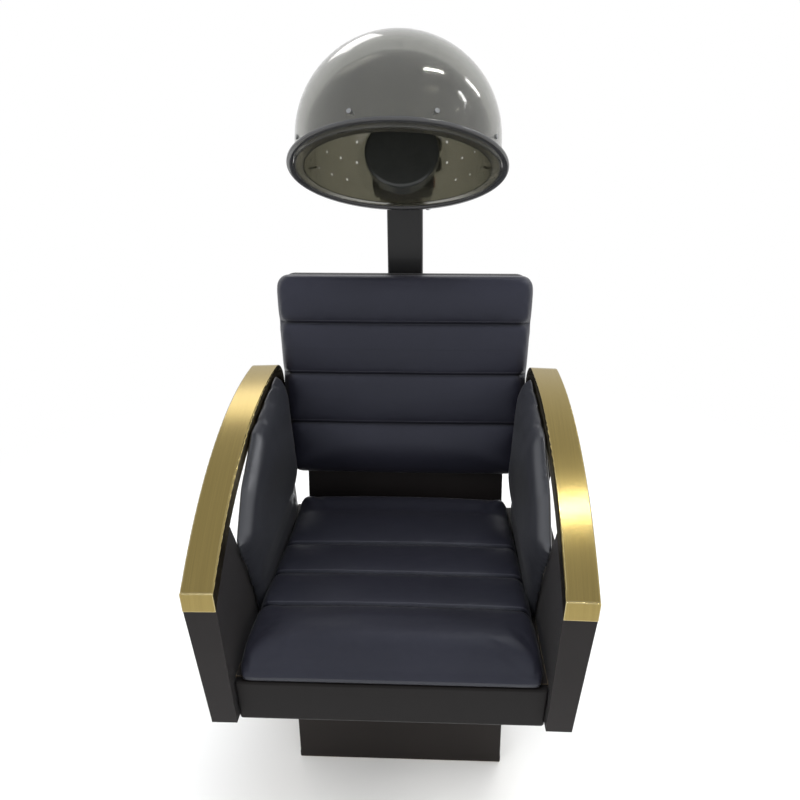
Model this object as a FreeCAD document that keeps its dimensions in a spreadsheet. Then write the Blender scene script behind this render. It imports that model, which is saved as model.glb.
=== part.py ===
# Hooded dryer chair: a salon armchair on a box pedestal with a hood dryer on a post behind it.
# Millimetres: X is to the right as the chair is seen from the front, Y to the back and Z up.
# The origin is on the floor under the middle of the pedestal.
import FreeCAD, Part
import Sketcher
import math
import os
from types import SimpleNamespace
from FreeCAD import Vector

os.makedirs("parts", exist_ok=True)
doc = FreeCAD.newDocument("hooded_dryer_chair")
sheet = doc.addObject("Spreadsheet::Sheet", "Sizes")

# Driving sizes, by group. Angles are in degrees, counts are plain numbers, the rest is millimetres.
driving = {
    "Common": {
        "fit_gap": 0.3,
        "running_gap": 0.05,
        "overrun": 5,
        "board_thickness": 18,
    },
    "Pedestal": {
        "base_width": 404,
        "base_depth": 400,
        "base_rear": 200,
        "base_height": 322,
        "cover_skin_thickness": 1.2,
        "cover_raise": 2,
        "glide_radius": 14,
        "glide_thickness": 4,
        "glide_inset": 40,
        "mount_plate_side": 300,
        "mount_plate_thickness": 8,
        "mount_bolt_inset": 80,
        "bolt_radius": 4,
        "bolt_head_radius": 8,
        "bolt_head_height": 5,
        "mount_bolt_length": 30,
    },
    "Arms": {
        "arm_front": 450,
        "arm_foot_half_width": 253.7,
        "arm_width": 54,
        "arm_toe": 3.0,
        "arm_splay": 3.4,
        "arm_depth": 552,
        "arm_raise": 9,
        "arm_taper": 11,
        "arm_column_top": 123,
        "arm_column_mid": 168,
        "arm_column_mid_height": 195,
        "arm_column_foot": 186,
        "arm_rail_height": 141,
        "arm_rear_column": 470,
        "strap_radius": 802,
        "strap_centre_depth": 460,
        "strap_centre_drop": 393,
        "strap_thickness": 28,
        "strap_wall": 2,
        "strap_bend_radius": 45,
        "strap_return": 100,
        "strap_edge_radius": 2.5,
        "cap_thickness": 2.5,
        "arm_bolt_height": 26,
        "arm_bolt_length": 48,
        "arm_bolt_margin": 110,
        "wing_thickness": 15,
        "wing_board": 7,
        "wing_corner_radius": 26,
        "wing_front_foot": 190,
        "wing_front_mid": 164,
        "wing_front_mid_height": 196,
        "wing_nose": 129,
        "wing_nose_height": 266,
        "wing_shoulder": 197,
        "wing_shoulder_height": 333,
        "wing_crest": 300,
        "wing_crest_height": 383,
        "wing_rear": 510,
        "wing_rear_height": 403,
    },
    "Seat": {
        "seat_setback": 15,
        "apron_thickness": 15,
        "apron_raise": 3,
        "rail_height": 70,
        "deck_thickness": 12,
        "seat_back": 105,
        "bearer_width": 40,
        "bearer_offset": 130,
        "dust_cloth_thickness": 1.2,
        "cushion_front_half_width": 249.2,
        "cushion_back_half_width": 213,
        "cushion_depth": 506,
        "cushion_front_height": 66,
        "cushion_back_height": 49,
        "cushion_nose": 34,
        "cushion_seam_depth": 6,
        "cushion_side_bulge": 6,
        "cushion_crown": 6,
        "cushion_edge_drop": 16,
        "roll_depth": 137,
        "seat_channel": 97,
    },
    "Backrest": {
        "back_raise": 186,
        "back_front": 66,
        "back_lean": 10.26,
        "back_length": 401,
        "back_foot_half_width": 234,
        "back_top_half_width": 254,
        "back_cushion_thickness": 48,
        "back_board_thickness": 15,
        "back_cover_thickness": 3,
        "back_channel": 103,
        "back_corner_radius": 26,
        "riser_half_width": 206,
        "riser_raise": 5,
        "riser_rise": 410,
        "back_bolt_offset": 120,
        "back_bolt_low": 60,
        "back_bolt_high": 190,
        "back_bolt_length": 34,
    },
    "Post": {
        "mast_width": 70,
        "mast_depth": 40,
        "mast_wall": 2.5,
        "mast_corner_radius": 6,
        "mast_foot_drop": 100,
        "mast_rise": 712.5,
        "mast_centre": 230,
        "sleeve_wall": 3,
        "sleeve_foot": 100,
        "sleeve_rise": 530,
        "liner_wall": 3,
        "liner_height": 36,
        "lower_liner_rise": 170,
        "bracket_half_width": 90,
        "bracket_height": 50,
        "lower_bracket_foot": 120,
        "upper_bracket_drop": 72,
        "bracket_bolt_offset": 66,
        "bracket_bolt_length": 28,
        "spacer_half_width": 30,
        "spacer_height": 36,
        "spacer_rise": 406,
        "boss_radius": 13,
        "boss_length": 10,
        "stud_radius": 4,
        "knob_radius": 24,
        "knob_length": 20,
        "knob_flute_radius": 6,
        "knob_standoff": 2,
        "knob_flutes": 6,
        "head_block": 17,
        "head_plug": 40,
        "ear_thickness": 14,
        "ear_radius": 20,
    },
    "Hood": {
        "hood_tilt": 34.5,
        "pin_above_mast": 51.2,
        "tongue_reach": 34,
        "pin_rise": 95,
        "pin_radius": 6,
        "pin_head_radius": 10,
        "pin_head_length": 5,
        "shell_radius": 173,
        "shell_straight": 58,
        "shell_wall": 3,
        "rim_overhang": 12,
        "rim_height": 13,
        "rim_lip": 4,
        "rim_lip_inset": 11,
        "rim_round": 5,
        "bowl_gap": 12,
        "bowl_straight": 38,
        "bowl_wall": 2,
        "bowl_flange": 2.2,
        "vent_radius": 2.6,
        "vent_margin": 12,
        "duct_radius": 50,
        "duct_height": 85,
        "pot_radius": 68,
        "pot_reach": 57,
        "pot_wall": 2.5,
        "pot_round": 6,
        "wheel_radius": 50,
        "wheel_inset": 8,
        "wheel_depth": 20,
        "wheel_plate_thickness": 2,
        "wheel_hub_radius": 12,
        "blade_thickness": 1.5,
        "blade_span": 20,
        "blade_count": 14,
        "shaft_radius": 3.5,
        "heater_inset": 34,
        "heater_depth": 22,
        "heater_wall": 4,
        "heater_plate_thickness": 3,
        "coil_wire": 1.4,
        "coil_radius": 20,
        "coil_step": 11,
        "motor_radius": 33,
        "motor_inset": 62,
        "motor_length": 30,
        "motor_strap_height": 28,
        "motor_strap_thickness": 3,
        "limiter_radius": 6,
        "limiter_height": 6,
        "housing_half_width": 56,
        "housing_reach": 43,
        "housing_floor": 30,
        "housing_roof": 150,
        "housing_wall": 3,
        "housing_round": 8,
        "grille_inner": 26,
        "grille_outer": 49,
        "grille_low": 48,
        "grille_high": 132,
        "grille_slot": 4,
        "grille_pitch": 9,
        "hinge_plate_half_width": 22,
        "hinge_plate_height": 70,
        "hinge_plate_thickness": 6,
        "tongue_half_width": 8,
        "tongue_radius": 16,
        "washer_radius": 14,
        "washer_space": 1,
        "screw_radius": 2,
        "screw_head_radius": 4,
        "screw_head_height": 2,
        "rim_screw_height": 31,
        "rim_screw_count": 8,
        "hinge_screw_offset": 15,
        "hinge_screw_span": 54,
        "lever_hub_radius": 12,
        "lever_hub_length": 13,
        "lever_rod_radius": 4.5,
        "lever_reach": 46,
        "lever_shoulder": 42,
        "lever_shoulder_drop": 14,
        "lever_knee_drop": 30,
        "lever_drop": 66,
        "lever_ball_radius": 7.5,
    },
    "Controls": {
        "dial_radius": 15,
        "dial_length": 16,
        "dial_edge_radius": 2,
        "dial_grip_width": 5,
        "dial_grip_height": 4,
        "dial_shaft_radius": 3,
        "dial_inset": 26,
        "timer_height": 128,
        "heat_height": 89,
        "switch_height": 50,
        "switch_inset": 38,
        "switch_frame_width": 14,
        "switch_frame_height": 24,
        "switch_frame_lip": 2,
        "rocker_radius": 8,
        "rocker_width": 9,
        "rocker_sink": 4,
        "rocker_notch": 2,
        "control_body_radius": 13,
        "control_body_length": 18,
        "lamp_radius": 4,
        "lamp_length": 4,
        "lamp_inset": 14,
        "gland_radius": 8,
        "gland_length": 9,
        "gland_bore": 3.6,
        "gland_offset": 36,
        "gland_inset": 18,
    },
}


class Size:
    """A number with the sheet expression that it comes from."""

    def __init__(self, number, text):
        self.number = number
        self.text = text

    def __float__(self):
        return float(self.number)

    def __add__(self, other):
        other = as_size(other)
        return Size(self.number + other.number, f"({self.text} + {other.text})")

    def __sub__(self, other):
        other = as_size(other)
        return Size(self.number - other.number, f"({self.text} - {other.text})")

    def __mul__(self, other):
        other = as_size(other)
        return Size(self.number * other.number, f"({self.text} * {other.text})")

    def __truediv__(self, other):
        other = as_size(other)
        return Size(self.number / other.number, f"({self.text} / {other.text})")

    def __neg__(self):
        return Size(-self.number, f"(0 - {self.text})")

    __radd__ = __add__
    __rmul__ = __mul__

    def __rsub__(self, other):
        return as_size(other) - self


def as_size(value):
    return value if isinstance(value, Size) else Size(float(value), repr(float(value)))


def sine(angle):
    return Size(math.sin(math.radians(float(angle))), f"sin({angle.text})")


def cosine(angle):
    return Size(math.cos(math.radians(float(angle))), f"cos({angle.text})")


def tangent(angle):
    return Size(math.tan(math.radians(float(angle))), f"tan({angle.text})")


def root(value):
    return Size(math.sqrt(float(value)), f"sqrt({value.text})")


def fill_sheet():
    """Writes the driving sizes to the sheet and returns them by name."""
    found = {}
    row = 1
    for title, group in driving.items():
        sheet.set(f"A{row}", title)
        row += 1
        for alias, number in group.items():
            sheet.set(f"A{row}", alias)
            sheet.set(f"B{row}", str(number))
            sheet.setAlias(f"B{row}", alias)
            row += 1
    doc.recompute()
    for group in driving.values():
        for alias in group:
            found[alias] = Size(float(sheet.get(alias)), "Sizes." + alias)
    return SimpleNamespace(**found)


s = fill_sheet()
nodes = []
frame_bolts = []
half = 0.5
quarter_turn = 90.0
full_turn = 360.0
along_x = (0, quarter_turn, 0)
along_y = (0, 0, -quarter_turn)
along_z = (0, 0, 0)


# Helpers for parametric objects
def bind(thing, prop, value):
    """Ties one property of an object to its sheet expression."""
    thing.setExpression(prop, as_size(value).text)


def place(thing, at=(0, 0, 0), turn=(0, 0, 0)):
    """Ties an object's placement to a point and to yaw, pitch and roll."""
    x, y, z = (as_size(value).text for value in at)
    yaw, pitch, roll = (as_size(value).text for value in turn)
    thing.setExpression(
        "Placement",
        f"placement(vector({x}; {y}; {z}); rotation({yaw}; {pitch}; {roll}))",
    )
    return thing


def box(start, span):
    thing = doc.addObject("Part::Box", "block")
    for prop, value in zip(("Length", "Width", "Height"), span):
        bind(thing, prop, value)
    return place(thing, start)


def rod(start, radius, length, direction=along_z):
    thing = doc.addObject("Part::Cylinder", "round_bar")
    bind(thing, "Radius", radius)
    bind(thing, "Height", length)
    return place(thing, start, direction)


def dome(radius, straight, low):
    """A straight drum from the height low, with a half ball on top."""
    drum = rod((0, 0, low), radius, straight - low)
    cap = doc.addObject("Part::Sphere", "half_ball")
    cap.Angle1 = 0
    bind(cap, "Radius", radius)
    place(cap, (0, 0, straight))
    return join([drum, cap])


def ring(radius, wire, at, direction):
    thing = doc.addObject("Part::Torus", "ring")
    bind(thing, "Radius1", radius)
    bind(thing, "Radius2", wire)
    return place(thing, at, direction)


def join(pieces):
    thing = doc.addObject("Part::MultiFuse", "joined")
    thing.Shapes = pieces
    return thing


def gather(pieces, frame=None):
    """A group of separate solids, carried by a frame of its own where one is given."""
    thing = doc.addObject("Part::Compound", "group")
    thing.Links = pieces
    if frame is not None:
        place(thing, *frame)
    return thing


def cut(base, tools):
    thing = doc.addObject("Part::Cut", "cut")
    thing.Base = base
    thing.Tool = tools[0] if len(tools) == 1 else gather(tools)
    return thing


def common(base, tool):
    thing = doc.addObject("Part::Common", "shared")
    thing.Base = base
    thing.Tool = tool
    return thing


def feature(shape, frame=None):
    thing = doc.addObject("Part::Feature", "formed")
    thing.Shape = shape
    if frame is not None:
        place(thing, *frame)
    return thing


def node(name, thing):
    """Names a finished piece. The name is also its file's name."""
    thing.Label = name
    nodes.append(thing)
    return thing


def bolt(at, length, radius, head_radius, head_height, direction):
    """A bolt whose head starts at a point and whose shank runs the other way from it."""
    head = rod(at, head_radius, head_height, direction)
    shank = rod((0, 0, -length), radius, length + head_height * half)
    carried = gather([shank], (at, direction))
    return join([head, carried])


# Helpers for sketched bodies
def origin_plane(body, role):
    return [part for part in body.Origin.OriginFeatures if part.Role == role][0]


def new_sketch(body, role):
    sketch = body.newObject("Sketcher::SketchObject", "Outline")
    sketch.AttachmentSupport = [(origin_plane(body, role), "")]
    sketch.MapMode = "FlatFace"
    return sketch


def pin_point(sketch, item, end, x, y):
    """Holds a sketch point at two sheet distances from the sketch's origin."""
    for kind, value in (("DistanceX", x), ("DistanceY", y)):
        value = as_size(value)
        index = sketch.addConstraint(Sketcher.Constraint(kind, -1, 1, item, end, float(value)))
        sketch.setExpression(f"Constraints[{index}]", value.text)


def polygon(body, role, points):
    sketch = new_sketch(body, role)
    corners = [Vector(float(as_size(x)), float(as_size(y)), 0) for x, y in points]
    count = len(corners)
    for index in range(count):
        line = Part.LineSegment(corners[index], corners[(index + 1) % count])
        sketch.addGeometry(line)
    for index in range(count):
        sketch.addConstraint(Sketcher.Constraint("Coincident", index, 2, (index + 1) % count, 1))
    for index, (x, y) in enumerate(points):
        pin_point(sketch, index, 1, x, y)
    return sketch


def circle(body, role, x, y, radius):
    sketch = new_sketch(body, role)
    centre = Vector(float(as_size(x)), float(as_size(y)), 0)
    sketch.addGeometry(Part.Circle(centre, Vector(0, 0, 1), float(as_size(radius))))
    pin_point(sketch, 0, 3, x, y)
    index = sketch.addConstraint(Sketcher.Constraint("Radius", 0, float(as_size(radius))))
    sketch.setExpression(f"Constraints[{index}]", as_size(radius).text)
    return sketch


def pad(body, sketch, length, both_ways=False):
    thing = body.newObject("PartDesign::Pad", "Pad")
    thing.Profile = sketch
    thing.Midplane = both_ways
    bind(thing, "Length", length)
    return thing


def pocket(body, sketch, length, both_ways=True):
    thing = body.newObject("PartDesign::Pocket", "Pocket")
    thing.Profile = sketch
    thing.Midplane = both_ways
    bind(thing, "Length", length)
    return thing


def round_edges(body, last, radius, wanted):
    """Rounds the edges of the last feature that a test picks."""
    doc.recompute()
    picked = [f"Edge{i + 1}" for i, edge in enumerate(last.Shape.Edges) if wanted(edge)]
    thing = body.newObject("PartDesign::Fillet", "Fillet")
    thing.Base = (last, picked)
    bind(thing, "Radius", radius)
    return thing


def upright(edge):
    ends = [vertex.Point for vertex in edge.Vertexes]
    if len(ends) < 2:
        return False
    run = ends[1] - ends[0]
    return math.hypot(run.x, run.y) < abs(run.z) * 0.001


# Places that follow from the sizes
base_front = s.base_rear - s.base_depth
seat_floor = s.base_height + s.mount_plate_thickness
mast_foot = seat_floor - s.mast_foot_drop
mast_top = seat_floor + s.mast_rise
sleeve_top = seat_floor + s.sleeve_rise
lower_liner_foot = seat_floor + s.lower_liner_rise
upper_bracket_foot = s.base_height - s.upper_bracket_drop
spacer_top = seat_floor + s.spacer_rise
pin_height = mast_top + s.pin_above_mast
back_bottom = seat_floor + s.back_raise
riser_top = seat_floor + s.riser_rise
rim_radius = s.shell_radius + s.rim_overhang
rim_lip_radius = s.shell_radius - s.rim_lip_inset
bowl_radius = s.shell_radius - s.shell_wall - s.bowl_gap
pot_front = s.shell_radius - s.pot_reach
wheel_front = pot_front + s.wheel_inset
heater_front = pot_front + s.heater_inset
motor_front = pot_front + s.motor_inset
housing_rear = s.shell_radius + s.housing_reach
pin_reach = housing_rear + s.tongue_reach
dial_depth = housing_rear - s.dial_inset
switch_depth = housing_rear - s.switch_inset
lamp_depth = housing_rear - s.lamp_inset
gland_depth = housing_rear - s.gland_inset

# Frames
arm_frames = {
    "right": ((s.arm_foot_half_width, -s.arm_front, seat_floor + s.arm_raise),
              (s.arm_toe, s.arm_splay, 0)),
    "left": ((-s.arm_foot_half_width, -s.arm_front, seat_floor + s.arm_raise),
             (-s.arm_toe, -s.arm_splay, 0)),
}
back_frame = ((0, s.back_front, back_bottom), (0, 0, quarter_turn - s.back_lean))
hood_y = s.mast_centre - pin_reach * cosine(s.hood_tilt) - s.pin_rise * sine(s.hood_tilt)
hood_z = pin_height + pin_reach * sine(s.hood_tilt) - s.pin_rise * cosine(s.hood_tilt)
hood_frame = ((0, hood_y, hood_z), (0, 0, -s.hood_tilt))
rail_top = seat_floor + s.rail_height
deck_top = rail_top + s.deck_thickness
seat_front = s.seat_setback - s.arm_front
frame_front = seat_front + s.apron_thickness
sleeve_half_width = s.mast_width * half + s.liner_wall + s.sleeve_wall
sleeve_half_depth = s.mast_depth * half + s.liner_wall + s.sleeve_wall
sleeve_front = s.mast_centre - sleeve_half_depth
sleeve_rear = s.mast_centre + sleeve_half_depth


# Pedestal
def make_pedestal():
    width = s.base_width - s.cover_skin_thickness * 2
    depth = s.base_depth - s.cover_skin_thickness * 2
    left = -width * half
    front = base_front + s.cover_skin_thickness
    wall_height = s.base_height - s.board_thickness * 2
    pockets = []
    glides = []
    reach_x = s.base_width * half - s.glide_inset
    for x in (-reach_x, reach_x):
        for y in (base_front + s.glide_inset, s.base_rear - s.glide_inset):
            glides.append(rod((x, y, 0), s.glide_radius, s.glide_thickness))
            pockets.append(rod((x, y, -s.overrun), s.glide_radius + s.running_gap,
                               s.glide_thickness + s.overrun))
    node("floor_glides", gather(glides))
    node("base_bottom_board", cut(box((left, front, 0), (width, depth, s.board_thickness)), pockets))
    rear = s.base_rear - s.cover_skin_thickness - s.board_thickness
    bracket_holes = gather([rod((x, rear - s.overrun, z), s.bolt_radius + s.running_gap,
                                s.board_thickness * 2, along_y) for x, z in bracket_bolt_places()])
    node("base_front_panel", box((left, front, s.board_thickness), (width, s.board_thickness, wall_height)))
    node("base_rear_panel", cut(box((left, rear, s.board_thickness), (width, s.board_thickness, wall_height)),
                                [bracket_holes]))
    sides = [box((x, front + s.board_thickness, s.board_thickness), (s.board_thickness, depth - s.board_thickness * 2, wall_height))
             for x in (left, -left - s.board_thickness)]
    node("base_side_panels", gather(sides))
    bolts, holes = mount_bolts()
    top = box((left, front, s.base_height - s.board_thickness), (width, depth, s.board_thickness))
    node("base_top_board", cut(top, [holes]))
    outer = box((-s.base_width * half, base_front, s.cover_raise),
                (s.base_width, s.base_depth, s.base_height - s.cover_raise))
    inner = box((left, front, 0), (width, depth, s.base_height + s.overrun))
    node("base_cover", cut(outer, [inner, bracket_holes]))
    side = s.mount_plate_side
    plate = box((-side * half, -side * half, s.base_height), (side, side, s.mount_plate_thickness))
    node("seat_mount_plate", cut(plate, [holes]))
    frame_bolts.append(bolts)


def mount_bolts():
    reach = s.mount_plate_side * half - s.mount_bolt_inset
    bolts = []
    holes = []
    for x in (-reach, reach):
        for y in (-reach, reach):
            bolts.append(bolt((x, y, seat_floor), s.mount_bolt_length, s.bolt_radius,
                              s.bolt_head_radius, s.bolt_head_height, along_z))
            holes.append(rod((x, y, s.base_height - s.board_thickness - s.overrun),
                             s.bolt_radius + s.running_gap, s.board_thickness * 2 + s.overrun))
    return gather(bolts), gather(holes)


def bracket_bolt_places():
    places = []
    for foot in (s.lower_bracket_foot, upper_bracket_foot):
        for x in (-s.bracket_bolt_offset, s.bracket_bolt_offset):
            places.append((x, foot + s.bracket_height * half))
    return places


# Seat frame, whose sides follow the splayed arms
def arm_face(y, z):
    """The distance of an arm's inner face from the middle plane."""
    toe = math.radians(float(s.arm_toe))
    splay = math.radians(float(s.arm_splay))
    forward = y + float(s.arm_front)
    up = z - float(seat_floor) - float(s.arm_raise)
    return float(s.arm_foot_half_width) - math.tan(toe) * forward + math.tan(splay) / math.cos(toe) * up


def wedge(y_range, z_range, x_range):
    """A block between two planes: x_range holds one function of y and z for each of them."""
    y_low, y_high = (float(as_size(value)) for value in y_range)
    z_low, z_high = (float(as_size(value)) for value in z_range)
    near, far = x_range

    def corner(side, y, z):
        return Vector(side(y, z), y, z)

    rings = []
    for z in (z_low, z_high):
        rings.append([corner(near, y_low, z), corner(far, y_low, z),
                      corner(far, y_high, z), corner(near, y_high, z)])
    low, high = rings
    faces = [Part.Face(Part.makePolygon(loop + loop[:1])) for loop in (low, high)]
    for index in range(len(low)):
        after = (index + 1) % len(low)
        loop = [low[index], low[after], high[after], high[index]]
        faces.append(Part.Face(Part.makePolygon(loop + loop[:1])))
    solid = Part.Solid(Part.Shell(faces))
    if solid.Volume < 0:
        solid.reverse()
    return solid


def between_arms(y_range, z_range, inset):
    inset = float(as_size(inset))
    return wedge(y_range, z_range,
                 (lambda y, z: inset - arm_face(y, z), lambda y, z: arm_face(y, z) - inset))


def arm_bolt_places():
    span = s.arm_depth - s.arm_bolt_margin * 2
    return [(s.arm_bolt_margin + span * share, s.arm_bolt_height) for share in (0, half, 1)]


def arm_bolt_set(side, head_face, length, radius, head_radius=None):
    """Bolts, or plain holes where no head is given, through one arm's foot."""
    sign = 1 if side == "right" else -1
    direction = (0, -quarter_turn * sign, 0)
    pieces = []
    for y, z in arm_bolt_places():
        at = (-head_face * sign, y, z)
        if head_radius is None:
            pieces.append(gather([rod((0, 0, -length), radius, length + s.overrun * 2)],
                                 (at, direction)))
        else:
            pieces.append(bolt(at, length, radius, head_radius, s.bolt_head_height, direction))
    return gather(pieces, arm_frames[side])


def make_seat_frame():
    rear_rail = between_arms((s.seat_back - s.board_thickness, s.seat_back), (seat_floor, rail_top),
                             s.board_thickness + s.fit_gap)
    front_rail = between_arms((frame_front, frame_front + s.board_thickness), (seat_floor, rail_top),
                              s.board_thickness + s.fit_gap)
    node("seat_cross_rails", gather([feature(front_rail), feature(rear_rail)]))
    inner = float(s.board_thickness)
    gap = float(s.fit_gap) * half
    rails = []
    for side, sign in (("left", -1), ("right", 1)):
        solid = wedge((frame_front, s.seat_back), (seat_floor, rail_top),
                      (lambda y, z: sign * (arm_face(y, z) - inner),
                       lambda y, z: sign * (arm_face(y, z) - gap)))
        holes = arm_bolt_set(side, s.board_thickness + s.overrun, s.arm_bolt_length,
                             s.bolt_radius + s.running_gap)
        rails.append(cut(feature(solid), [holes]))
    node("seat_side_rails", gather(rails))
    run = s.seat_back - s.board_thickness - frame_front - s.board_thickness
    bearers = [box((x, frame_front + s.board_thickness, seat_floor), (s.bearer_width, run, s.rail_height))
               for x in (s.bearer_offset, -s.bearer_offset - s.bearer_width)]
    node("seat_bearers", gather(bearers))
    node("seat_deck", feature(between_arms((frame_front, s.seat_back), (rail_top, deck_top),
                                           s.fit_gap)))
    node("front_apron", feature(between_arms((seat_front, frame_front),
                                             (seat_floor + s.apron_raise, deck_top), s.fit_gap)))
    cloth = feature(between_arms((frame_front, s.seat_back), (seat_floor - s.dust_cloth_thickness, seat_floor),
                                 s.board_thickness * half))
    side = s.mount_plate_side + s.overrun
    hole = box((-side * half, -side * half, s.base_height), (side, side, s.board_thickness))
    node("seat_dust_cover", cut(cloth, [hole]))
    for side in ("left", "right"):
        frame_bolts.append(arm_bolt_set(side, s.board_thickness, s.arm_bolt_length, s.bolt_radius,
                                        s.bolt_head_radius))


# Padded pieces with sewn channels
def pad_section(depth, half_width, height):
    """One closed section across a pad: flat below, drawn-in bulged sides, a crowned top."""
    bulge = float(s.cushion_side_bulge)
    crown = float(s.cushion_crown)
    drop = min(float(s.cushion_edge_drop), height * half)
    foot = half_width - bulge
    shoulder = half_width - bulge
    low_right = Vector(foot, depth, 0)
    low_left = Vector(-foot, depth, 0)
    top_right = Vector(shoulder, depth, height - drop)
    top_left = Vector(-shoulder, depth, height - drop)
    side_right = Vector(half_width, depth, (height - drop) * half)
    side_left = Vector(-half_width, depth, (height - drop) * half)
    inset = drop
    crown_right = Vector(shoulder - inset, depth, height - crown * half)
    crown_left = Vector(-shoulder + inset, depth, height - crown * half)
    bend = math.sqrt(half)
    knee = inset * (1 - bend)
    knee_rise = (drop - crown * half) * bend
    knee_right = Vector(shoulder - knee, depth, height - drop + knee_rise)
    knee_left = Vector(-shoulder + knee, depth, height - drop + knee_rise)
    edges = [
        Part.LineSegment(low_left, low_right),
        Part.Arc(low_right, side_right, top_right),
        Part.Arc(top_right, knee_right, crown_right),
        Part.Arc(crown_right, Vector(0, depth, height), crown_left),
        Part.Arc(crown_left, knee_left, top_left),
        Part.Arc(top_left, side_left, low_left),
    ]
    return Part.Wire([edge.toShape() for edge in edges])


def channelled_pad(stations):
    """A ruled loft through sections: each station is its depth, half width and height."""
    return Part.makeLoft([pad_section(*station) for station in stations], True, True)


def puffed(depth_start, depth_end, shares):
    """Stations of one channel, as depth and the share of the seam's depth that is lost there."""
    return [(depth_start + (depth_end - depth_start) * where, sunk) for where, sunk in shares]


channel_shares = ((0.04, 0.45), (0.14, 0.12), (0.35, 0), (0.65, 0), (0.86, 0.12), (0.96, 0.45))


def make_seat_cushion():
    length = float(s.cushion_depth)
    nose = float(s.cushion_nose)
    seam = float(s.cushion_seam_depth)
    front_height = float(s.cushion_front_height)
    back_height = float(s.cushion_back_height)
    seams = [float(s.roll_depth) + float(s.seat_channel) * index for index in range(3)]

    def width_at(depth):
        share = depth / length
        front_half = float(s.cushion_front_half_width)
        return front_half + (float(s.cushion_back_half_width) - front_half) * share

    def height_at(depth):
        share = max(depth - nose, 0) / (length - nose)
        return front_height + (back_height - front_height) * share

    stations = []
    for angle in (0, 20, 40, 60, 80):
        turn = math.radians(angle)
        depth = nose * (1 - math.cos(turn))
        height = front_height - nose * (1 - math.sin(turn))
        stations.append((depth, width_at(depth) - nose * (1 - math.sin(turn)) * 0.25, height))
    starts = [nose] + seams
    ends = seams + [length - nose * half]
    for start, end in zip(starts, ends):
        for depth, sunk in puffed(start, end, channel_shares):
            if start == nose and depth < (start + end) * half:
                sunk = 0
            if end == ends[-1] and depth > (start + end) * half:
                sunk = sunk * half
            stations.append((depth, width_at(depth), height_at(depth) - seam * sunk))
        if end != ends[-1]:
            stations.append((end, width_at(end), height_at(end) - seam))
    stations.append((length, width_at(length) - nose * 0.2, back_height - nose * 0.4))
    stations.sort()
    solid = channelled_pad(stations)
    node("seat_cushion", feature(solid, ((0, seat_front, deck_top), (0, 0, 0))))


def make_backrest():
    length = float(s.back_length)
    corner = float(s.back_corner_radius)
    seam = float(s.cushion_seam_depth)
    thick = float(s.back_cushion_thickness)
    top_channel = length - float(s.back_channel) * 3
    seams = [length - top_channel - float(s.back_channel) * index for index in range(3)][::-1]

    def width_at(depth):
        foot = float(s.back_foot_half_width)
        width = foot + (float(s.back_top_half_width) - foot) * depth / length
        over = depth - (length - corner)
        if over > 0:
            width -= corner - math.sqrt(max(corner ** 2 - over ** 2, 0))
        return width

    stations = [(0, width_at(0) - corner * 0.3, thick * 0.72), (corner * 0.25, width_at(0), thick * 0.9)]
    starts = [corner * 0.5] + seams
    ends = seams + [length - corner]
    for start, end in zip(starts, ends):
        for depth, sunk in puffed(start, end, channel_shares):
            if (start == starts[0] or end == ends[-1]) and (
                    (depth < (start + end) * half) == (start == starts[0])):
                sunk = 0
            stations.append((depth, width_at(depth), thick - seam * sunk))
        if end != ends[-1]:
            stations.append((end, width_at(end), thick - seam))
    for share in (0.3, 0.6, 0.82, 0.95):
        depth = length - corner + corner * share
        stations.append((depth, width_at(depth), thick - corner * (1 - math.sqrt(1 - share ** 2)) * half))
    stations.sort()
    cushion = feature(channelled_pad(stations))
    place(cushion, (0, 0, -s.back_cushion_thickness))
    node("backrest_cushion", gather([cushion], back_frame))
    behind = back_bolt_set(s.bolt_radius + s.running_gap, None)
    for name, depth, thickness in (
            ("backrest_board", s.back_cushion_thickness + s.back_board_thickness, s.back_board_thickness),
            ("backrest_rear_cover", s.back_cushion_thickness + s.back_board_thickness + s.back_cover_thickness,
             s.back_cover_thickness)):
        body = doc.addObject("PartDesign::Body", name + "_body")
        foot = s.back_foot_half_width - s.cushion_side_bulge
        top = s.back_top_half_width - s.cushion_side_bulge
        sketch = polygon(body, "XY_Plane", [(-foot, 0), (foot, 0), (top, s.back_length),
                                            (-top, s.back_length)])
        last = pad(body, sketch, thickness)
        last = round_edges(body, last, s.back_corner_radius,
                           lambda edge: upright(edge) and edge.CenterOfMass.y > length * half)
        body.Tip = last
        place(body, (0, 0, -depth))
        node(name, cut(gather([body], back_frame), [behind]))
    slope = tangent(s.back_lean)
    rear_depth = s.back_cushion_thickness + s.back_board_thickness + s.back_cover_thickness
    rear_y = s.back_front + rear_depth * cosine(s.back_lean)
    rear_z = back_bottom - rear_depth * sine(s.back_lean)
    low = seat_floor + s.riser_raise
    knee = rear_z - (rear_y - s.seat_back) / slope
    top_y = rear_y + (riser_top - rear_z) * slope
    wide = s.board_thickness / cosine(s.back_lean)
    body = doc.addObject("PartDesign::Body", "riser_body")
    sketch = polygon(body, "YZ_Plane", [
        (s.seat_back, low), (s.seat_back + wide, low), (s.seat_back + wide, knee),
        (top_y + wide, riser_top), (top_y, riser_top), (s.seat_back, knee)])
    last = pad(body, sketch, s.riser_half_width * 2, True)
    body.Tip = last
    node("back_riser", cut(body, [behind]))
    frame_bolts.append(back_bolt_set(s.bolt_radius, s.bolt_head_radius))
    spacer = doc.addObject("PartDesign::Body", "spacer_body")
    spacer_foot = spacer_top - s.spacer_height
    face_top = rear_y + (spacer_top - rear_z) * slope + wide
    face_foot = rear_y + (spacer_foot - rear_z) * slope + wide
    sketch = polygon(spacer, "YZ_Plane", [
        (face_foot, spacer_foot), (sleeve_front, spacer_foot),
        (sleeve_front, spacer_top), (face_top, spacer_top)])
    spacer.Tip = pad(spacer, sketch, s.spacer_half_width * 2, True)
    node("post_spacer", spacer)


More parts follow.
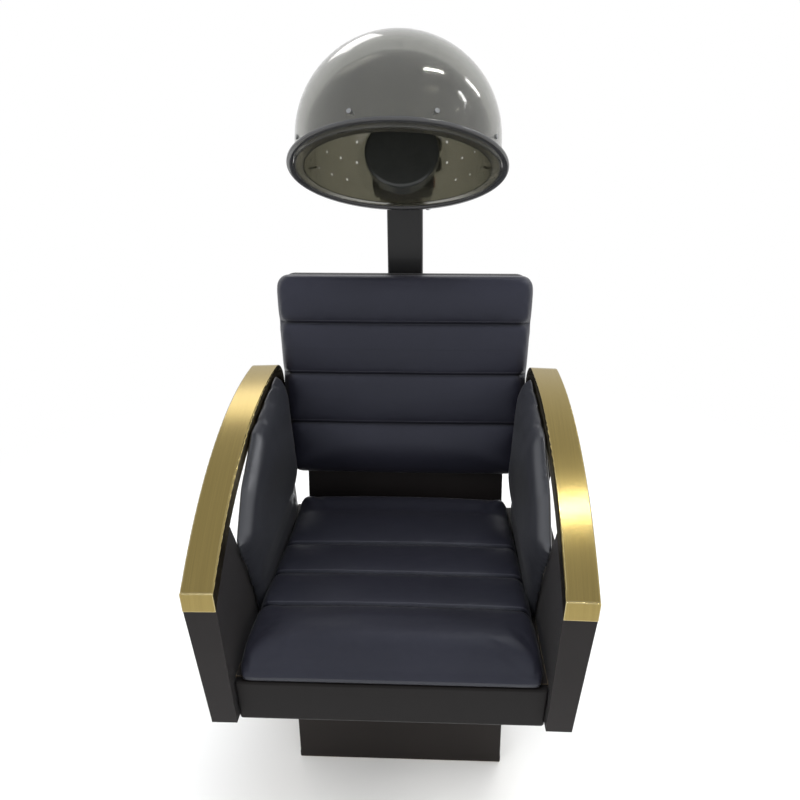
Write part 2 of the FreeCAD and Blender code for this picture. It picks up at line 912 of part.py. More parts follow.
def back_bolt_set(radius, head_radius):
    """Bolts through the riser into the backrest board, or their holes where no head is given."""
    rear = s.back_cushion_thickness + s.back_board_thickness + s.back_cover_thickness + s.board_thickness
    direction = (0, 180.0, 0)
    pieces = []
    for x in (-s.back_bolt_offset, s.back_bolt_offset):
        for along in (s.back_bolt_low, s.back_bolt_high):
            at = (x, along, -rear)
            if head_radius is None:
                pieces.append(rod((x, along, -rear - s.overrun), radius,
                                  s.back_bolt_length + s.overrun))
            else:
                pieces.append(bolt(at, s.back_bolt_length, radius, head_radius,
                                   s.bolt_head_height, direction))
    return gather(pieces, back_frame)


# Arms
def circle_height(radius, along):
    """The height of the strap's arc of a radius, at a distance from the arm's front."""
    offset = along - float(s.strap_centre_depth)
    return math.sqrt(radius ** 2 - offset ** 2) - float(s.strap_centre_drop)


def arc_through(radius, start, end):
    """An arc of the strap's centre from one depth to another."""
    middle = (start + end) * half
    points = [Vector(0, along, circle_height(radius, along)) for along in (start, middle, end)]
    return Part.Arc(*points)


def bend_points(radius):
    """Start, middle and end of the strap's rear bend, at a radius from the bend's centre."""
    centre_y = float(s.arm_depth) + float(s.strap_thickness) - float(s.strap_bend_radius)
    big = float(s.strap_radius) - float(s.strap_bend_radius)
    centre_z = circle_height(big, centre_y)
    start = math.atan2(centre_z + float(s.strap_centre_drop),
                       centre_y - float(s.strap_centre_depth))
    points = []
    for share in (0, half, 1):
        angle = start * (1 - share)
        points.append(Vector(0, centre_y + radius * math.cos(angle),
                             centre_z + radius * math.sin(angle)))
    return points


def strap_profile(inset, front, foot):
    """The strap's side outline, drawn in by an inset from both curved faces."""
    outer = float(s.strap_radius) - inset
    inner = float(s.strap_radius) - float(s.strap_thickness) + inset
    bend_out = bend_points(float(s.strap_bend_radius) - inset)
    bend_in = bend_points(float(s.strap_bend_radius) - float(s.strap_thickness) + inset)
    end_out = Vector(0, bend_out[2].y, foot)
    end_in = Vector(0, bend_in[2].y, foot)
    top = arc_through(outer, front, bend_out[0].y)
    under = arc_through(inner, bend_in[0].y, front)
    edges = [
        top,
        Part.Arc(*bend_out),
        Part.LineSegment(bend_out[2], end_out),
        Part.LineSegment(end_out, end_in),
        Part.LineSegment(end_in, bend_in[2]),
        Part.Arc(*bend_in[::-1]),
        under,
        Part.LineSegment(under.EndPoint, top.StartPoint),
    ]
    return Part.Face(Part.Wire([edge.toShape() for edge in edges]))


def strap_foot():
    return bend_points(float(s.strap_bend_radius))[2].z - float(s.strap_return)


def make_strap(sign):
    width = float(s.arm_width)
    wall = float(s.strap_wall)
    over = float(s.overrun)
    solid = strap_profile(0, 0, strap_foot()).extrude(Vector(width, 0, 0))
    long_edges = [edge for edge in solid.Edges
                  if edge.BoundBox.XLength < wall and edge.BoundBox.YLength > wall * 4
                  or edge.BoundBox.XLength < wall and edge.BoundBox.ZLength > float(s.strap_return) * half]
    solid = solid.makeFillet(float(s.strap_edge_radius), long_edges)
    hollow = strap_profile(wall, -over, strap_foot() - over)
    hollow = hollow.extrude(Vector(width - wall * 2, 0, 0))
    hollow.translate(Vector(wall, 0, 0))
    solid = solid.cut(hollow).removeSplitter()
    if sign < 0:
        solid = solid.mirror(Vector(0, 0, 0), Vector(1, 0, 0))
    return solid


def make_caps(side, sign):
    inner = float(s.strap_radius) - float(s.strap_thickness)
    low = circle_height(inner, 0)
    high = circle_height(float(s.strap_radius), 0)
    thick = float(s.cap_thickness)
    front = Part.makeBox(float(s.arm_width), thick, high - low, Vector(0, -thick, low))
    inner_y = bend_points(float(s.strap_bend_radius) - float(s.strap_thickness))[2].y
    rear = Part.makeBox(float(s.arm_width), float(s.strap_thickness), thick,
                        Vector(0, inner_y, strap_foot() - thick))
    solids = []
    for solid in (front, rear):
        solid = solid.makeFillet(float(s.cap_thickness) * 0.3, solid.Edges)
        if sign < 0:
            solid = solid.mirror(Vector(0, 0, 0), Vector(1, 0, 0))
        solids.append(solid)
    return feature(Part.makeCompound(solids), arm_frames[side])


def arm_panel(sign):
    """The upholstered arm under the strap: front column, bottom rail and rear column."""
    under = float(s.strap_radius) - float(s.strap_thickness) - float(s.fit_gap) * half
    bend = bend_points(float(s.strap_bend_radius) - float(s.strap_thickness) - float(s.fit_gap) * half)
    column_top = float(s.arm_column_top)
    rear_column = float(s.arm_rear_column)
    front_arc = arc_through(under, 0, column_top)
    rear_arc = arc_through(under, rear_column, bend[0].y)
    rail = float(s.arm_rail_height)
    foot = Vector(0, 0, 0)
    rear_foot = Vector(0, bend[2].y, 0)
    mid = Vector(0, float(s.arm_column_mid), float(s.arm_column_mid_height))
    low = Vector(0, float(s.arm_column_foot), rail)
    rear_low = Vector(0, rear_column, rail)
    edges = [
        Part.LineSegment(foot, front_arc.StartPoint),
        front_arc,
        Part.LineSegment(front_arc.EndPoint, mid),
        Part.LineSegment(mid, low),
        Part.LineSegment(low, rear_low),
        Part.LineSegment(rear_low, rear_arc.StartPoint),
        rear_arc,
        Part.Arc(*bend),
        Part.LineSegment(bend[2], rear_foot),
        Part.LineSegment(rear_foot, foot),
    ]
    face = Part.Face(Part.Wire([edge.toShape() for edge in edges]))
    block = face.extrude(Vector(sign * float(s.arm_width), 0, 0))
    # the outer face leans in towards the foot
    over = float(s.overrun)
    wide = sign * float(s.arm_width)
    narrow = sign * (float(s.arm_width) - float(s.arm_taper))
    clear = sign * (float(s.arm_width) + over)
    corners = [Vector(wide, -over, front_arc.StartPoint.z), Vector(narrow, -over, 0),
               Vector(narrow, -over, -over), Vector(clear, -over, -over),
               Vector(clear, -over, front_arc.StartPoint.z)]
    sliver = Part.Face(Part.makePolygon(corners + corners[:1]))
    return block.cut(sliver.extrude(Vector(0, rear_foot.y + over * 2, 0)))


def wing_outline(x, inset):
    """The padded side's outline at a height of its padding, with rounded corners."""
    low = float(deck_top) - float(seat_floor) - float(s.arm_raise) + float(s.fit_gap) * 2
    corners = [
        (float(s.wing_front_foot), low),
        (float(s.wing_front_mid), float(s.wing_front_mid_height)),
        (float(s.wing_nose), float(s.wing_nose_height)),
        (float(s.wing_shoulder), float(s.wing_shoulder_height)),
        (float(s.wing_crest), float(s.wing_crest_height)),
        (float(s.wing_rear), float(s.wing_rear_height)),
        (float(s.wing_rear), low),
    ]
    centre_y = sum(y for y, z in corners) / len(corners)
    centre_z = sum(z for y, z in corners) / len(corners)
    size_y = max(y for y, z in corners) - centre_y
    size_z = max(z for y, z in corners) - centre_z
    moved = []
    for y, z in corners:
        moved.append(Vector(x, centre_y + (y - centre_y) * (1 - inset / size_y),
                            centre_z + (z - centre_z) * (1 - inset / size_z)))
    return rounded_wire(moved, float(s.wing_corner_radius) * half)


def rounded_wire(corners, radius):
    """A closed wire through corners, each rounded by one arc."""
    count = len(corners)
    edges = []
    last_end = None
    first_start = None
    for index in range(count):
        here = corners[index]
        back = corners[index - 1] - here
        ahead = corners[(index + 1) % count] - here
        opening = back.getAngle(ahead)
        trim = radius / math.tan(opening * half)
        trim = min(trim, back.Length * 0.4, ahead.Length * 0.4)
        start = here + back.normalize() * trim
        end = here + ahead.normalize() * trim
        sweep = trim * math.tan(opening * half)
        to_centre = (back + ahead).normalize()
        distance = math.hypot(trim, sweep)
        middle = here + to_centre * (distance - sweep)
        if last_end is not None:
            edges.append(Part.LineSegment(last_end, start))
        else:
            first_start = start
        edges.append(Part.Arc(start, middle, end))
        last_end = end
    edges.append(Part.LineSegment(last_end, first_start))
    return Part.Wire([edge.toShape() for edge in edges])


def make_wing(sign):
    gap = float(s.fit_gap)
    thick = float(s.wing_thickness)
    board = float(s.wing_board)
    stations = ((gap, 0.0), (board, 0.0), (board + (thick - board) * 0.6, 0.5),
                (board + (thick - board) * 0.9, 1.1), (thick, 2.0))
    wires = [wing_outline(-sign * depth, inset * float(s.wing_corner_radius))
             for depth, inset in stations]
    return Part.makeLoft(wires, True, True)


def make_arms():
    caps = []
    for side, sign in (("left", -1), ("right", 1)):
        holes = arm_bolt_set(side, s.board_thickness + s.overrun, s.arm_bolt_length + s.overrun,
                             s.bolt_radius + s.running_gap)
        panel = feature(arm_panel(sign), arm_frames[side])
        node("arm_panel_" + side, cut(panel, [holes]))
        node("armrest_strap_" + side, feature(make_strap(sign), arm_frames[side]))
        caps.append(make_caps(side, sign))
        node("arm_side_pad_" + side, feature(make_wing(sign), arm_frames[side]))
    node("armrest_caps", gather(caps))


# Post behind the chair
def box_tube(name, half_width, half_depth, wall, foot, top, radius):
    body = doc.addObject("PartDesign::Body", name + "_body")
    outer = polygon(body, "XY_Plane", rectangle(half_width, half_depth))
    last = pad(body, outer, top - foot)
    last = round_edges(body, last, radius, upright)
    inner = polygon(body, "XY_Plane", rectangle(half_width - wall, half_depth - wall))
    last = pocket(body, inner, (top - foot) * 2 + s.overrun)
    body.Tip = last
    return place(body, (0, s.mast_centre, foot))


def rectangle(half_width, half_depth):
    return [(-half_width, -half_depth), (half_width, -half_depth),
            (half_width, half_depth), (-half_width, half_depth)]


def make_post():
    stud_height = sleeve_top - s.liner_height * half
    stud_hole = rod((0, s.mast_centre, stud_height), s.stud_radius + s.running_gap,
                    sleeve_half_depth + s.boss_length + s.overrun, along_y)
    mast = box_tube("mast", s.mast_width * half, s.mast_depth * half, s.mast_wall,
                    mast_foot, mast_top, s.mast_corner_radius)
    node("mast", mast)
    sleeve = box_tube("sleeve", sleeve_half_width, sleeve_half_depth, s.sleeve_wall,
                      s.sleeve_foot, sleeve_top, s.mast_corner_radius)
    node("post_sleeve", cut(sleeve, [stud_hole]))
    liners = []
    gap = s.running_gap * 2
    for foot in (lower_liner_foot, sleeve_top - s.liner_height):
        outer = box((-s.mast_width * half - s.liner_wall + gap,
                     s.mast_centre - s.mast_depth * half - s.liner_wall + gap, foot),
                    (s.mast_width + s.liner_wall * 2 - gap * 2,
                     s.mast_depth + s.liner_wall * 2 - gap * 2, s.liner_height))
        inner = box((-s.mast_width * half - gap, s.mast_centre - s.mast_depth * half - gap,
                     foot - s.overrun),
                    (s.mast_width + gap * 2, s.mast_depth + gap * 2,
                     s.liner_height + s.overrun * 2))
        liners.append(cut(outer, [inner, stud_hole]))
    node("sleeve_liners", gather(liners))
    plate_front = s.base_rear
    plate_thickness = sleeve_front - plate_front
    bolts = []
    holes = []
    for x, z in bracket_bolt_places():
        holes.append(rod((x, plate_front - s.overrun, z), s.bolt_radius + s.running_gap,
                         s.board_thickness, along_y))
        bolts.append(bolt((x, sleeve_front, z), s.bracket_bolt_length, s.bolt_radius,
                          s.bolt_head_radius, s.bolt_head_height, along_y))
    plates = [box((-s.bracket_half_width, plate_front, foot),
                  (s.bracket_half_width * 2, plate_thickness, s.bracket_height))
              for foot in (s.lower_bracket_foot, upper_bracket_foot)]
    node("post_brackets", gather([cut(plate, holes) for plate in plates]))
    frame_bolts.append(gather(bolts))
    boss = rod((0, sleeve_rear, stud_height), s.boss_radius, s.boss_length, along_y)
    node("clamp_boss", cut(boss, [stud_hole]))
    knob = doc.addObject("PartDesign::Body", "clamp_knob_body")
    disc = circle(knob, "XY_Plane", 0, 0, s.knob_radius)
    last = pad(knob, disc, s.knob_length)
    doc.recompute()
    flute = circle(knob, "XY_Plane", s.knob_radius + s.knob_flute_radius * half, 0,
                   s.knob_flute_radius)
    last = pocket(knob, flute, s.knob_length * 2 + s.overrun)
    doc.recompute()
    turned = knob.newObject("PartDesign::PolarPattern", "Flutes")
    turned.Originals = [last]
    turned.Axis = (flute, ["N_Axis"])
    turned.Occurrences = int(float(s.knob_flutes))
    knob.Tip = turned
    knob_face = sleeve_rear + s.boss_length + s.knob_standoff
    place(knob, (0, knob_face, stud_height), along_y)
    stud_tip = s.mast_centre + s.mast_depth * half + s.fit_gap
    stud = rod((0, stud_tip, stud_height), s.stud_radius, knob_face - stud_tip + s.knob_length * half,
               along_y)
    node("clamp_knob", join([knob, stud]))
    make_mast_head()


def make_mast_head():
    plug_x = s.mast_width * half - s.mast_wall - s.fit_gap * half
    plug_y = s.mast_depth * half - s.mast_wall - s.fit_gap * half
    block_top = mast_top + s.head_block
    plug = box((-plug_x, s.mast_centre - plug_y, mast_top - s.head_plug),
               (plug_x * 2, plug_y * 2, s.head_plug + s.head_block * half))
    block = box((-s.mast_width * half, s.mast_centre - s.mast_depth * half, mast_top),
                (s.mast_width, s.mast_depth, s.head_block))
    pieces = [plug, block]
    near = s.tongue_half_width + s.washer_space
    for x in (near, -near - s.ear_thickness):
        pieces.append(box((x, s.mast_centre - s.ear_radius, block_top - s.head_block * half),
                          (s.ear_thickness, s.ear_radius * 2,
                           pin_height - block_top + s.head_block * half)))
        pieces.append(rod((x, s.mast_centre, pin_height), s.ear_radius, s.ear_thickness, along_x))
    bore = rod((-s.mast_width, s.mast_centre, pin_height), s.pin_radius + s.running_gap,
               s.mast_width * 2, along_x)
    node("mast_head", cut(join(pieces), [bore]))
    ear_face = near + s.ear_thickness
    lever_end = ear_face + s.fit_gap + s.lever_hub_length
    pin = rod((-ear_face - s.running_gap, s.mast_centre, pin_height), s.pin_radius,
              ear_face + lever_end + s.running_gap - s.fit_gap, along_x)
    pin_head = rod((-ear_face - s.pin_head_length, s.mast_centre, pin_height),
                   s.pin_head_radius, s.pin_head_length, along_x)
    node("hinge_pin", join([pin, pin_head]))
    washers = []
    spare = s.running_gap
    for x in (s.tongue_half_width + spare, -s.tongue_half_width - s.washer_space + spare):
        disc = rod((x, s.mast_centre, pin_height), s.washer_radius,
                   s.washer_space - spare * 2, along_x)
        washers.append(cut(disc, [bore]))
    node("friction_washers", gather(washers))
    make_lever(ear_face + s.fit_gap, bore)


def make_lever(hub_face, bore):
    """The clamp lever: a hub on the pin, a bent rod beside the mast and a ball at its end."""
    hub = rod((hub_face, s.mast_centre, pin_height), s.lever_hub_radius, s.lever_hub_length,
              along_x)
    x_start = float(hub_face) + float(s.lever_hub_length) * half
    drop_start = float(s.lever_hub_radius) * half
    points = [
        Vector(x_start, 0, -drop_start),
        Vector(float(s.lever_shoulder), 0, -float(s.lever_shoulder_drop)),
        Vector(float(s.lever_reach), 0, -float(s.lever_knee_drop)),
        Vector(float(s.lever_reach), 0, -float(s.lever_drop)),
    ]
    pieces = []
    radius = float(s.lever_rod_radius)
    for start, end in zip(points, points[1:]):
        run = end - start
        pieces.append(Part.makeCylinder(radius, run.Length, start, run))
        pieces.append(Part.makeSphere(radius, end))
    pieces.append(Part.makeSphere(float(s.lever_ball_radius), points[-1]))
    bent = pieces[0].multiFuse(pieces[1:])
    bent = feature(bent, ((0, s.mast_centre, pin_height), along_z))
    node("tilt_lever", cut(join([hub, bent]), [bore]))


# Hood, in its own frame: the rim's plane is z = 0 and the back is +Y
def make_hood():
    low = -s.overrun
    outer = dome(s.shell_radius, s.shell_straight, 0)
    inner = dome(s.shell_radius - s.shell_wall, s.shell_straight, low)
    duct = rod((0, pot_front, s.duct_height), s.duct_radius, s.shell_radius, along_y)
    screws, screw_holes = rim_screws()
    hinge_set, hinge_holes = hinge_screws()
    node("hood_screws", gather(screws + hinge_set, hood_frame))
    shell = cut(outer, [inner, duct] + screw_holes)
    node("hood_shell", gather([shell], hood_frame))
    rim = doc.addObject("PartDesign::Body", "rim_body")
    seat = s.shell_radius + s.fit_gap * half
    sketch = polygon(rim, "XZ_Plane", [
        (rim_lip_radius, -s.rim_lip), (rim_radius, -s.rim_lip), (rim_radius, s.rim_height),
        (seat, s.rim_height), (seat, 0), (rim_lip_radius, 0)])
    turned = rim.newObject("PartDesign::Revolution", "Revolution")
    turned.Profile = sketch
    turned.ReferenceAxis = (sketch, ["V_Axis"])
    turned.Angle = full_turn
    rim_edge = float(rim_radius)
    turned = round_edges(rim, turned, s.rim_round,
                         lambda edge: abs(edge.BoundBox.XLength - rim_edge * 2) < 0.001
                         and edge.BoundBox.ZLength < 0.001)
    rim.Tip = turned
    place(rim, (0, 0, -s.running_gap))
    node("rim_ring", gather([rim], hood_frame))
    make_bowl()
    make_fan()
    make_housing(hinge_holes)
    make_controls()


def rim_screws():
    """Screws round the shell above its rim, except where the rear housing covers it."""
    behind_share = 0.9
    screws = []
    holes = []
    count = int(float(s.rim_screw_count))
    step = full_turn / count
    for index in range(count):
        angle = step * (index + half)
        turn = (angle, quarter_turn, 0)
        cosine_share = math.cos(math.radians(angle))
        sine_share = math.sin(math.radians(angle))
        if sine_share > behind_share:
            continue
        at = (s.shell_radius * cosine_share, s.shell_radius * sine_share, s.rim_screw_height)
        length = s.shell_radius - bowl_radius - s.fit_gap
        screws.append(bolt(at, length, s.screw_radius, s.screw_head_radius,
                           s.screw_head_height, turn))
        holes.append(gather([rod((0, 0, -s.shell_wall * 2), s.screw_radius + s.running_gap,
                                 s.shell_wall * 2)], (at, turn)))
    return screws, holes


def vent_shares():
    """Rows of vents as polar angle from the crown and number of vents round the full circle."""
    return ((14, 6), (27, 12), (40, 18), (53, 22), (66, 26), (79, 28), (92, 28))


def make_bowl():
    wall = s.bowl_wall
    outer = dome(bowl_radius, s.bowl_straight, 0)
    flange = rod((0, 0, 0), s.shell_radius - s.shell_wall - s.fit_gap, s.bowl_flange)
    inner = dome(bowl_radius - wall, s.bowl_straight, -s.overrun)
    duct = rod((0, pot_front, s.duct_height), s.duct_radius, s.shell_radius, along_y)
    radius = float(bowl_radius)
    centre = Vector(0, 0, float(s.bowl_straight))
    pot_centre = Vector(0, radius, float(s.duct_height))
    keep_off = float(s.pot_radius) + float(s.vent_margin)
    drills = []
    for row, (polar, count) in enumerate(vent_shares()):
        for index in range(count):
            turn = 2 * math.pi * (index + half * (row % 2)) / count
            tilt = math.radians(polar)
            direction = Vector(math.sin(tilt) * math.cos(turn), math.sin(tilt) * math.sin(turn),
                               math.cos(tilt))
            place_on_bowl = centre + direction * radius
            if (place_on_bowl - pot_centre).Length < keep_off * 1.1:
                continue
            start = centre + direction * (radius - float(wall) * 3)
            drills.append(Part.makeCylinder(float(s.vent_radius), float(wall) * 6, start, direction))
    drilled = feature(Part.makeCompound(drills))
    bowl = cut(join([outer, flange]), [inner, duct, drilled])
    node("inner_bowl", gather([bowl], hood_frame))


def make_fan():
    height = s.duct_height
    reach = s.shell_radius - pot_front
    pot_body = doc.addObject("PartDesign::Body", "pot_body")
    disc = circle(pot_body, "XY_Plane", 0, 0, s.pot_radius)
    last = pad(pot_body, disc, reach)
    last = round_edges(pot_body, last, s.pot_round, lambda edge: edge.CenterOfMass.z < 0.001)
    pot_body.Tip = last
    place(pot_body, (0, pot_front, height), along_y)
    room = dome(bowl_radius - s.bowl_wall - s.fit_gap, s.bowl_straight, -s.overrun)
    hollow = rod((0, pot_front + s.pot_wall, height), s.pot_radius - s.pot_wall, reach, along_y)
    node("fan_cover", gather([cut(common(pot_body, room), [hollow])], hood_frame))
    hub = rod((0, wheel_front, height), s.wheel_hub_radius, s.wheel_depth, along_y)
    disc = rod((0, wheel_front + s.wheel_depth - s.wheel_plate_thickness, height), s.wheel_radius,
               s.wheel_plate_thickness, along_y)
    shaft = rod((0, wheel_front, height), s.shaft_radius, motor_front - wheel_front, along_y)
    pieces = [hub, disc, shaft]
    count = int(float(s.blade_count))
    for index in range(count):
        blade = box((s.wheel_radius - s.blade_span - s.blade_thickness, -s.blade_thickness * half, 0),
                    (s.blade_span, s.blade_thickness, s.wheel_depth))
        turn = full_turn * index / count
        spun = gather([blade], ((0, 0, 0), (turn, 0, 0)))
        pieces.append(gather([spun], ((0, wheel_front, height), along_y)))
    node("fan_wheel", gather([join(pieces)], hood_frame))
    make_heater(height)
    motor_shell = rod((0, motor_front, height), s.motor_radius, s.motor_length, along_y)
    bore = rod((0, wheel_front, height), s.shaft_radius + s.running_gap,
               motor_front - wheel_front + s.motor_length * half, along_y)
    nose = rod((0, motor_front - s.bolt_head_height, height), s.wheel_hub_radius,
               s.bolt_head_height, along_y)
    node("fan_motor", gather([cut(join([motor_shell, nose]), [bore])], hood_frame))
    inside = s.housing_half_width - s.housing_wall - s.fit_gap
    rear = motor_front + s.motor_length
    strap = box((-inside, rear, height - s.motor_strap_height * half),
                (inside * 2, s.motor_strap_thickness, s.motor_strap_height))
    node("motor_bracket", gather([strap], hood_frame))
    limiter = rod((-s.motor_radius - s.limiter_radius * 2, rear - s.limiter_height, height),
                  s.limiter_radius, s.limiter_height, along_y)
    node("heat_limiter", gather([limiter], hood_frame))


def make_heater(height):
    outer_radius = s.duct_radius - s.fit_gap
    outer = rod((0, heater_front, height), outer_radius, s.heater_depth, along_y)
    inner = rod((0, heater_front - s.overrun, height), outer_radius - s.heater_wall,
                s.heater_depth + s.overrun * 2, along_y)
    ring_wall = cut(outer, [inner])
    span = (outer_radius - s.heater_wall * half) * 2
    depth = s.heater_depth - s.coil_wire * 4
    flat = box((-span * half, heater_front, height - s.heater_plate_thickness * half),
               (span, depth, s.heater_plate_thickness))
    stand = box((-s.heater_plate_thickness * half, heater_front, height - span * half),
                (s.heater_plate_thickness, depth, span))
    bore = rod((0, heater_front - s.overrun, height), s.wheel_hub_radius + s.fit_gap,
               s.heater_depth + s.overrun * 2, along_y)
    frame = cut(join([ring_wall, flat, stand]), [bore])
    node("heater_frame", gather([frame], hood_frame))
    rings = []
    behind = heater_front + depth + s.coil_wire + s.running_gap
    for index in range(3):
        rings.append(ring(s.coil_radius + s.coil_step * index, s.coil_wire, (0, behind, height),
                          along_y))
    node("heater_coils", gather(rings, hood_frame))


def make_housing(screw_holes):
    half_width = s.housing_half_width
    wall = s.housing_wall
    tall = s.housing_roof - s.housing_floor
    body = doc.addObject("PartDesign::Body", "housing_body")
    sketch = polygon(body, "XZ_Plane", [
        (-half_width, s.housing_floor), (half_width, s.housing_floor),
        (half_width, s.housing_roof), (-half_width, s.housing_roof)])
    last = pad(body, sketch, housing_rear)
    last.Reversed = True
    deep = float(housing_rear)
    last = round_edges(body, last, s.housing_round,
                       lambda edge: edge.CenterOfMass.y > deep * 0.25)
    body.Tip = last
    room = box((wall - half_width, 0, s.housing_floor + wall),
               ((half_width - wall) * 2, housing_rear - wall, tall - wall * 2))
    ball = dome(s.shell_radius + s.fit_gap, s.shell_straight, -rim_radius)
    tools = [room, ball]
    grilles = []
    for sign in (-1, 1):
        low_x = s.grille_inner if sign > 0 else -s.grille_outer
        span_x = s.grille_outer - s.grille_inner
        span_z = s.grille_high - s.grille_low
        tools.append(box((low_x, housing_rear - wall * 2, s.grille_low),
                         (span_x, wall * 3, span_z)))
        gap = s.fit_gap * half
        plate = box((low_x + gap, housing_rear - wall, s.grille_low + gap),
                    (span_x - gap * 2, wall, span_z - gap * 2))
        slots = []
        count = int((float(span_z) - float(s.grille_slot)) // float(s.grille_pitch))
        for index in range(count):
            start = s.grille_low + s.grille_slot + s.grille_pitch * index
            slots.append(box((low_x + s.grille_slot, housing_rear - wall * 2, start),
                             (span_x - s.grille_slot * 2, wall * 3, s.grille_slot)))
        grilles.append(cut(plate, slots))
    for z in (s.timer_height, s.heat_height):
        tools.append(rod((half_width - wall * 2, dial_depth, z),
                         s.dial_shaft_radius + s.fit_gap, wall * 3, along_x))
    frame_gap = s.running_gap
    tools.append(box((half_width - wall * 2,
                      switch_depth - s.switch_frame_width * half + s.switch_frame_lip - frame_gap,
                      s.switch_height - s.switch_frame_height * half + s.switch_frame_lip - frame_gap),
                     (wall * 3, s.switch_frame_width - s.switch_frame_lip * 2 + frame_gap * 2,
                      s.switch_frame_height - s.switch_frame_lip * 2 + frame_gap * 2)))
    tools.append(rod((half_width - wall * 2, lamp_depth, s.switch_height),
                     s.lamp_radius * half + s.running_gap, wall * 3, along_x))
    tools.append(rod((-s.gland_offset, gland_depth, s.housing_floor - s.overrun),
                     s.gland_radius * half + s.running_gap, wall + s.overrun * 2))
    node("rear_housing", gather([cut(body, tools + screw_holes)], hood_frame))
    node("intake_grilles", gather(grilles, hood_frame))
    plate = box((-s.hinge_plate_half_width, housing_rear,
                 s.pin_rise - s.hinge_plate_height * half),
                (s.hinge_plate_half_width * 2, s.hinge_plate_thickness, s.hinge_plate_height))
    tongue = box((-s.tongue_half_width, housing_rear + s.hinge_plate_thickness * half,
                  s.pin_rise - s.tongue_radius),
                 (s.tongue_half_width * 2,
                  pin_reach - housing_rear - s.hinge_plate_thickness * half,
                  s.tongue_radius * 2))
    knuckle = rod((-s.tongue_half_width, pin_reach, s.pin_rise), s.tongue_radius,
                  s.tongue_half_width * 2, along_x)
    bore = rod((-s.mast_width, pin_reach, s.pin_rise), s.pin_radius + s.running_gap,
               s.mast_width * 2, along_x)
    bracket = cut(join([plate, tongue, knuckle]), [bore] + screw_holes)
    node("hinge_bracket", gather([bracket], hood_frame))
    barrel = rod((-s.gland_offset, gland_depth, s.housing_floor - s.gland_length),
                 s.gland_radius, s.gland_length)
    neck = rod((-s.gland_offset, gland_depth, s.housing_floor - s.gland_length),
               s.gland_radius * half, s.gland_length + wall)
    passage = rod((-s.gland_offset, gland_depth, s.housing_floor - s.gland_length - s.overrun),
                  s.gland_bore * half, s.gland_length * 2 + s.overrun * 2)
    node("cable_gland", gather([cut(join([barrel, neck]), [passage])], hood_frame))


def hinge_screws():
    screws = []
    holes = []
    rear = housing_rear + s.hinge_plate_thickness
    length = s.hinge_plate_thickness + s.housing_wall - s.fit_gap
    for x in (-s.hinge_screw_offset, s.hinge_screw_offset):
        for z in (s.pin_rise - s.hinge_screw_span * half, s.pin_rise + s.hinge_screw_span * half):
            screws.append(bolt((x, rear, z), length, s.screw_radius, s.screw_head_radius,
                               s.screw_head_height, along_y))
            holes.append(rod((x, housing_rear - s.housing_wall * 2, z),
                             s.screw_radius + s.running_gap,
                             s.housing_wall * 2 + s.hinge_plate_thickness + s.overrun, along_y))
    return screws, holes


def make_dial(name, z):
    """A turned knob on the housing's side, with a raised grip across its face."""
    face = s.housing_half_width + s.fit_gap
    body = doc.addObject("PartDesign::Body", name + "_body")
    disc = circle(body, "XY_Plane", 0, 0, s.dial_radius)
    last = pad(body, disc, s.dial_length - s.dial_grip_height)
    last = round_edges(body, last, s.dial_edge_radius, lambda edge: edge.CenterOfMass.z > 0.001
                       and len(edge.Vertexes) < 2)
    body.Tip = last
    place(body, (face, dial_depth, z), along_x)
    grip = box((face + s.dial_length - s.dial_grip_height * 2,
                dial_depth - s.dial_grip_width * half, z - s.dial_radius * 0.8),
               (s.dial_grip_height * 2, s.dial_grip_width, s.dial_radius * 1.6))
    shaft = rod((s.housing_half_width - s.housing_wall * 2, dial_depth, z), s.dial_shaft_radius,
                s.housing_wall * 2 + s.dial_length * half, along_x)
    node(name, gather([join([body, grip, shaft])], hood_frame))


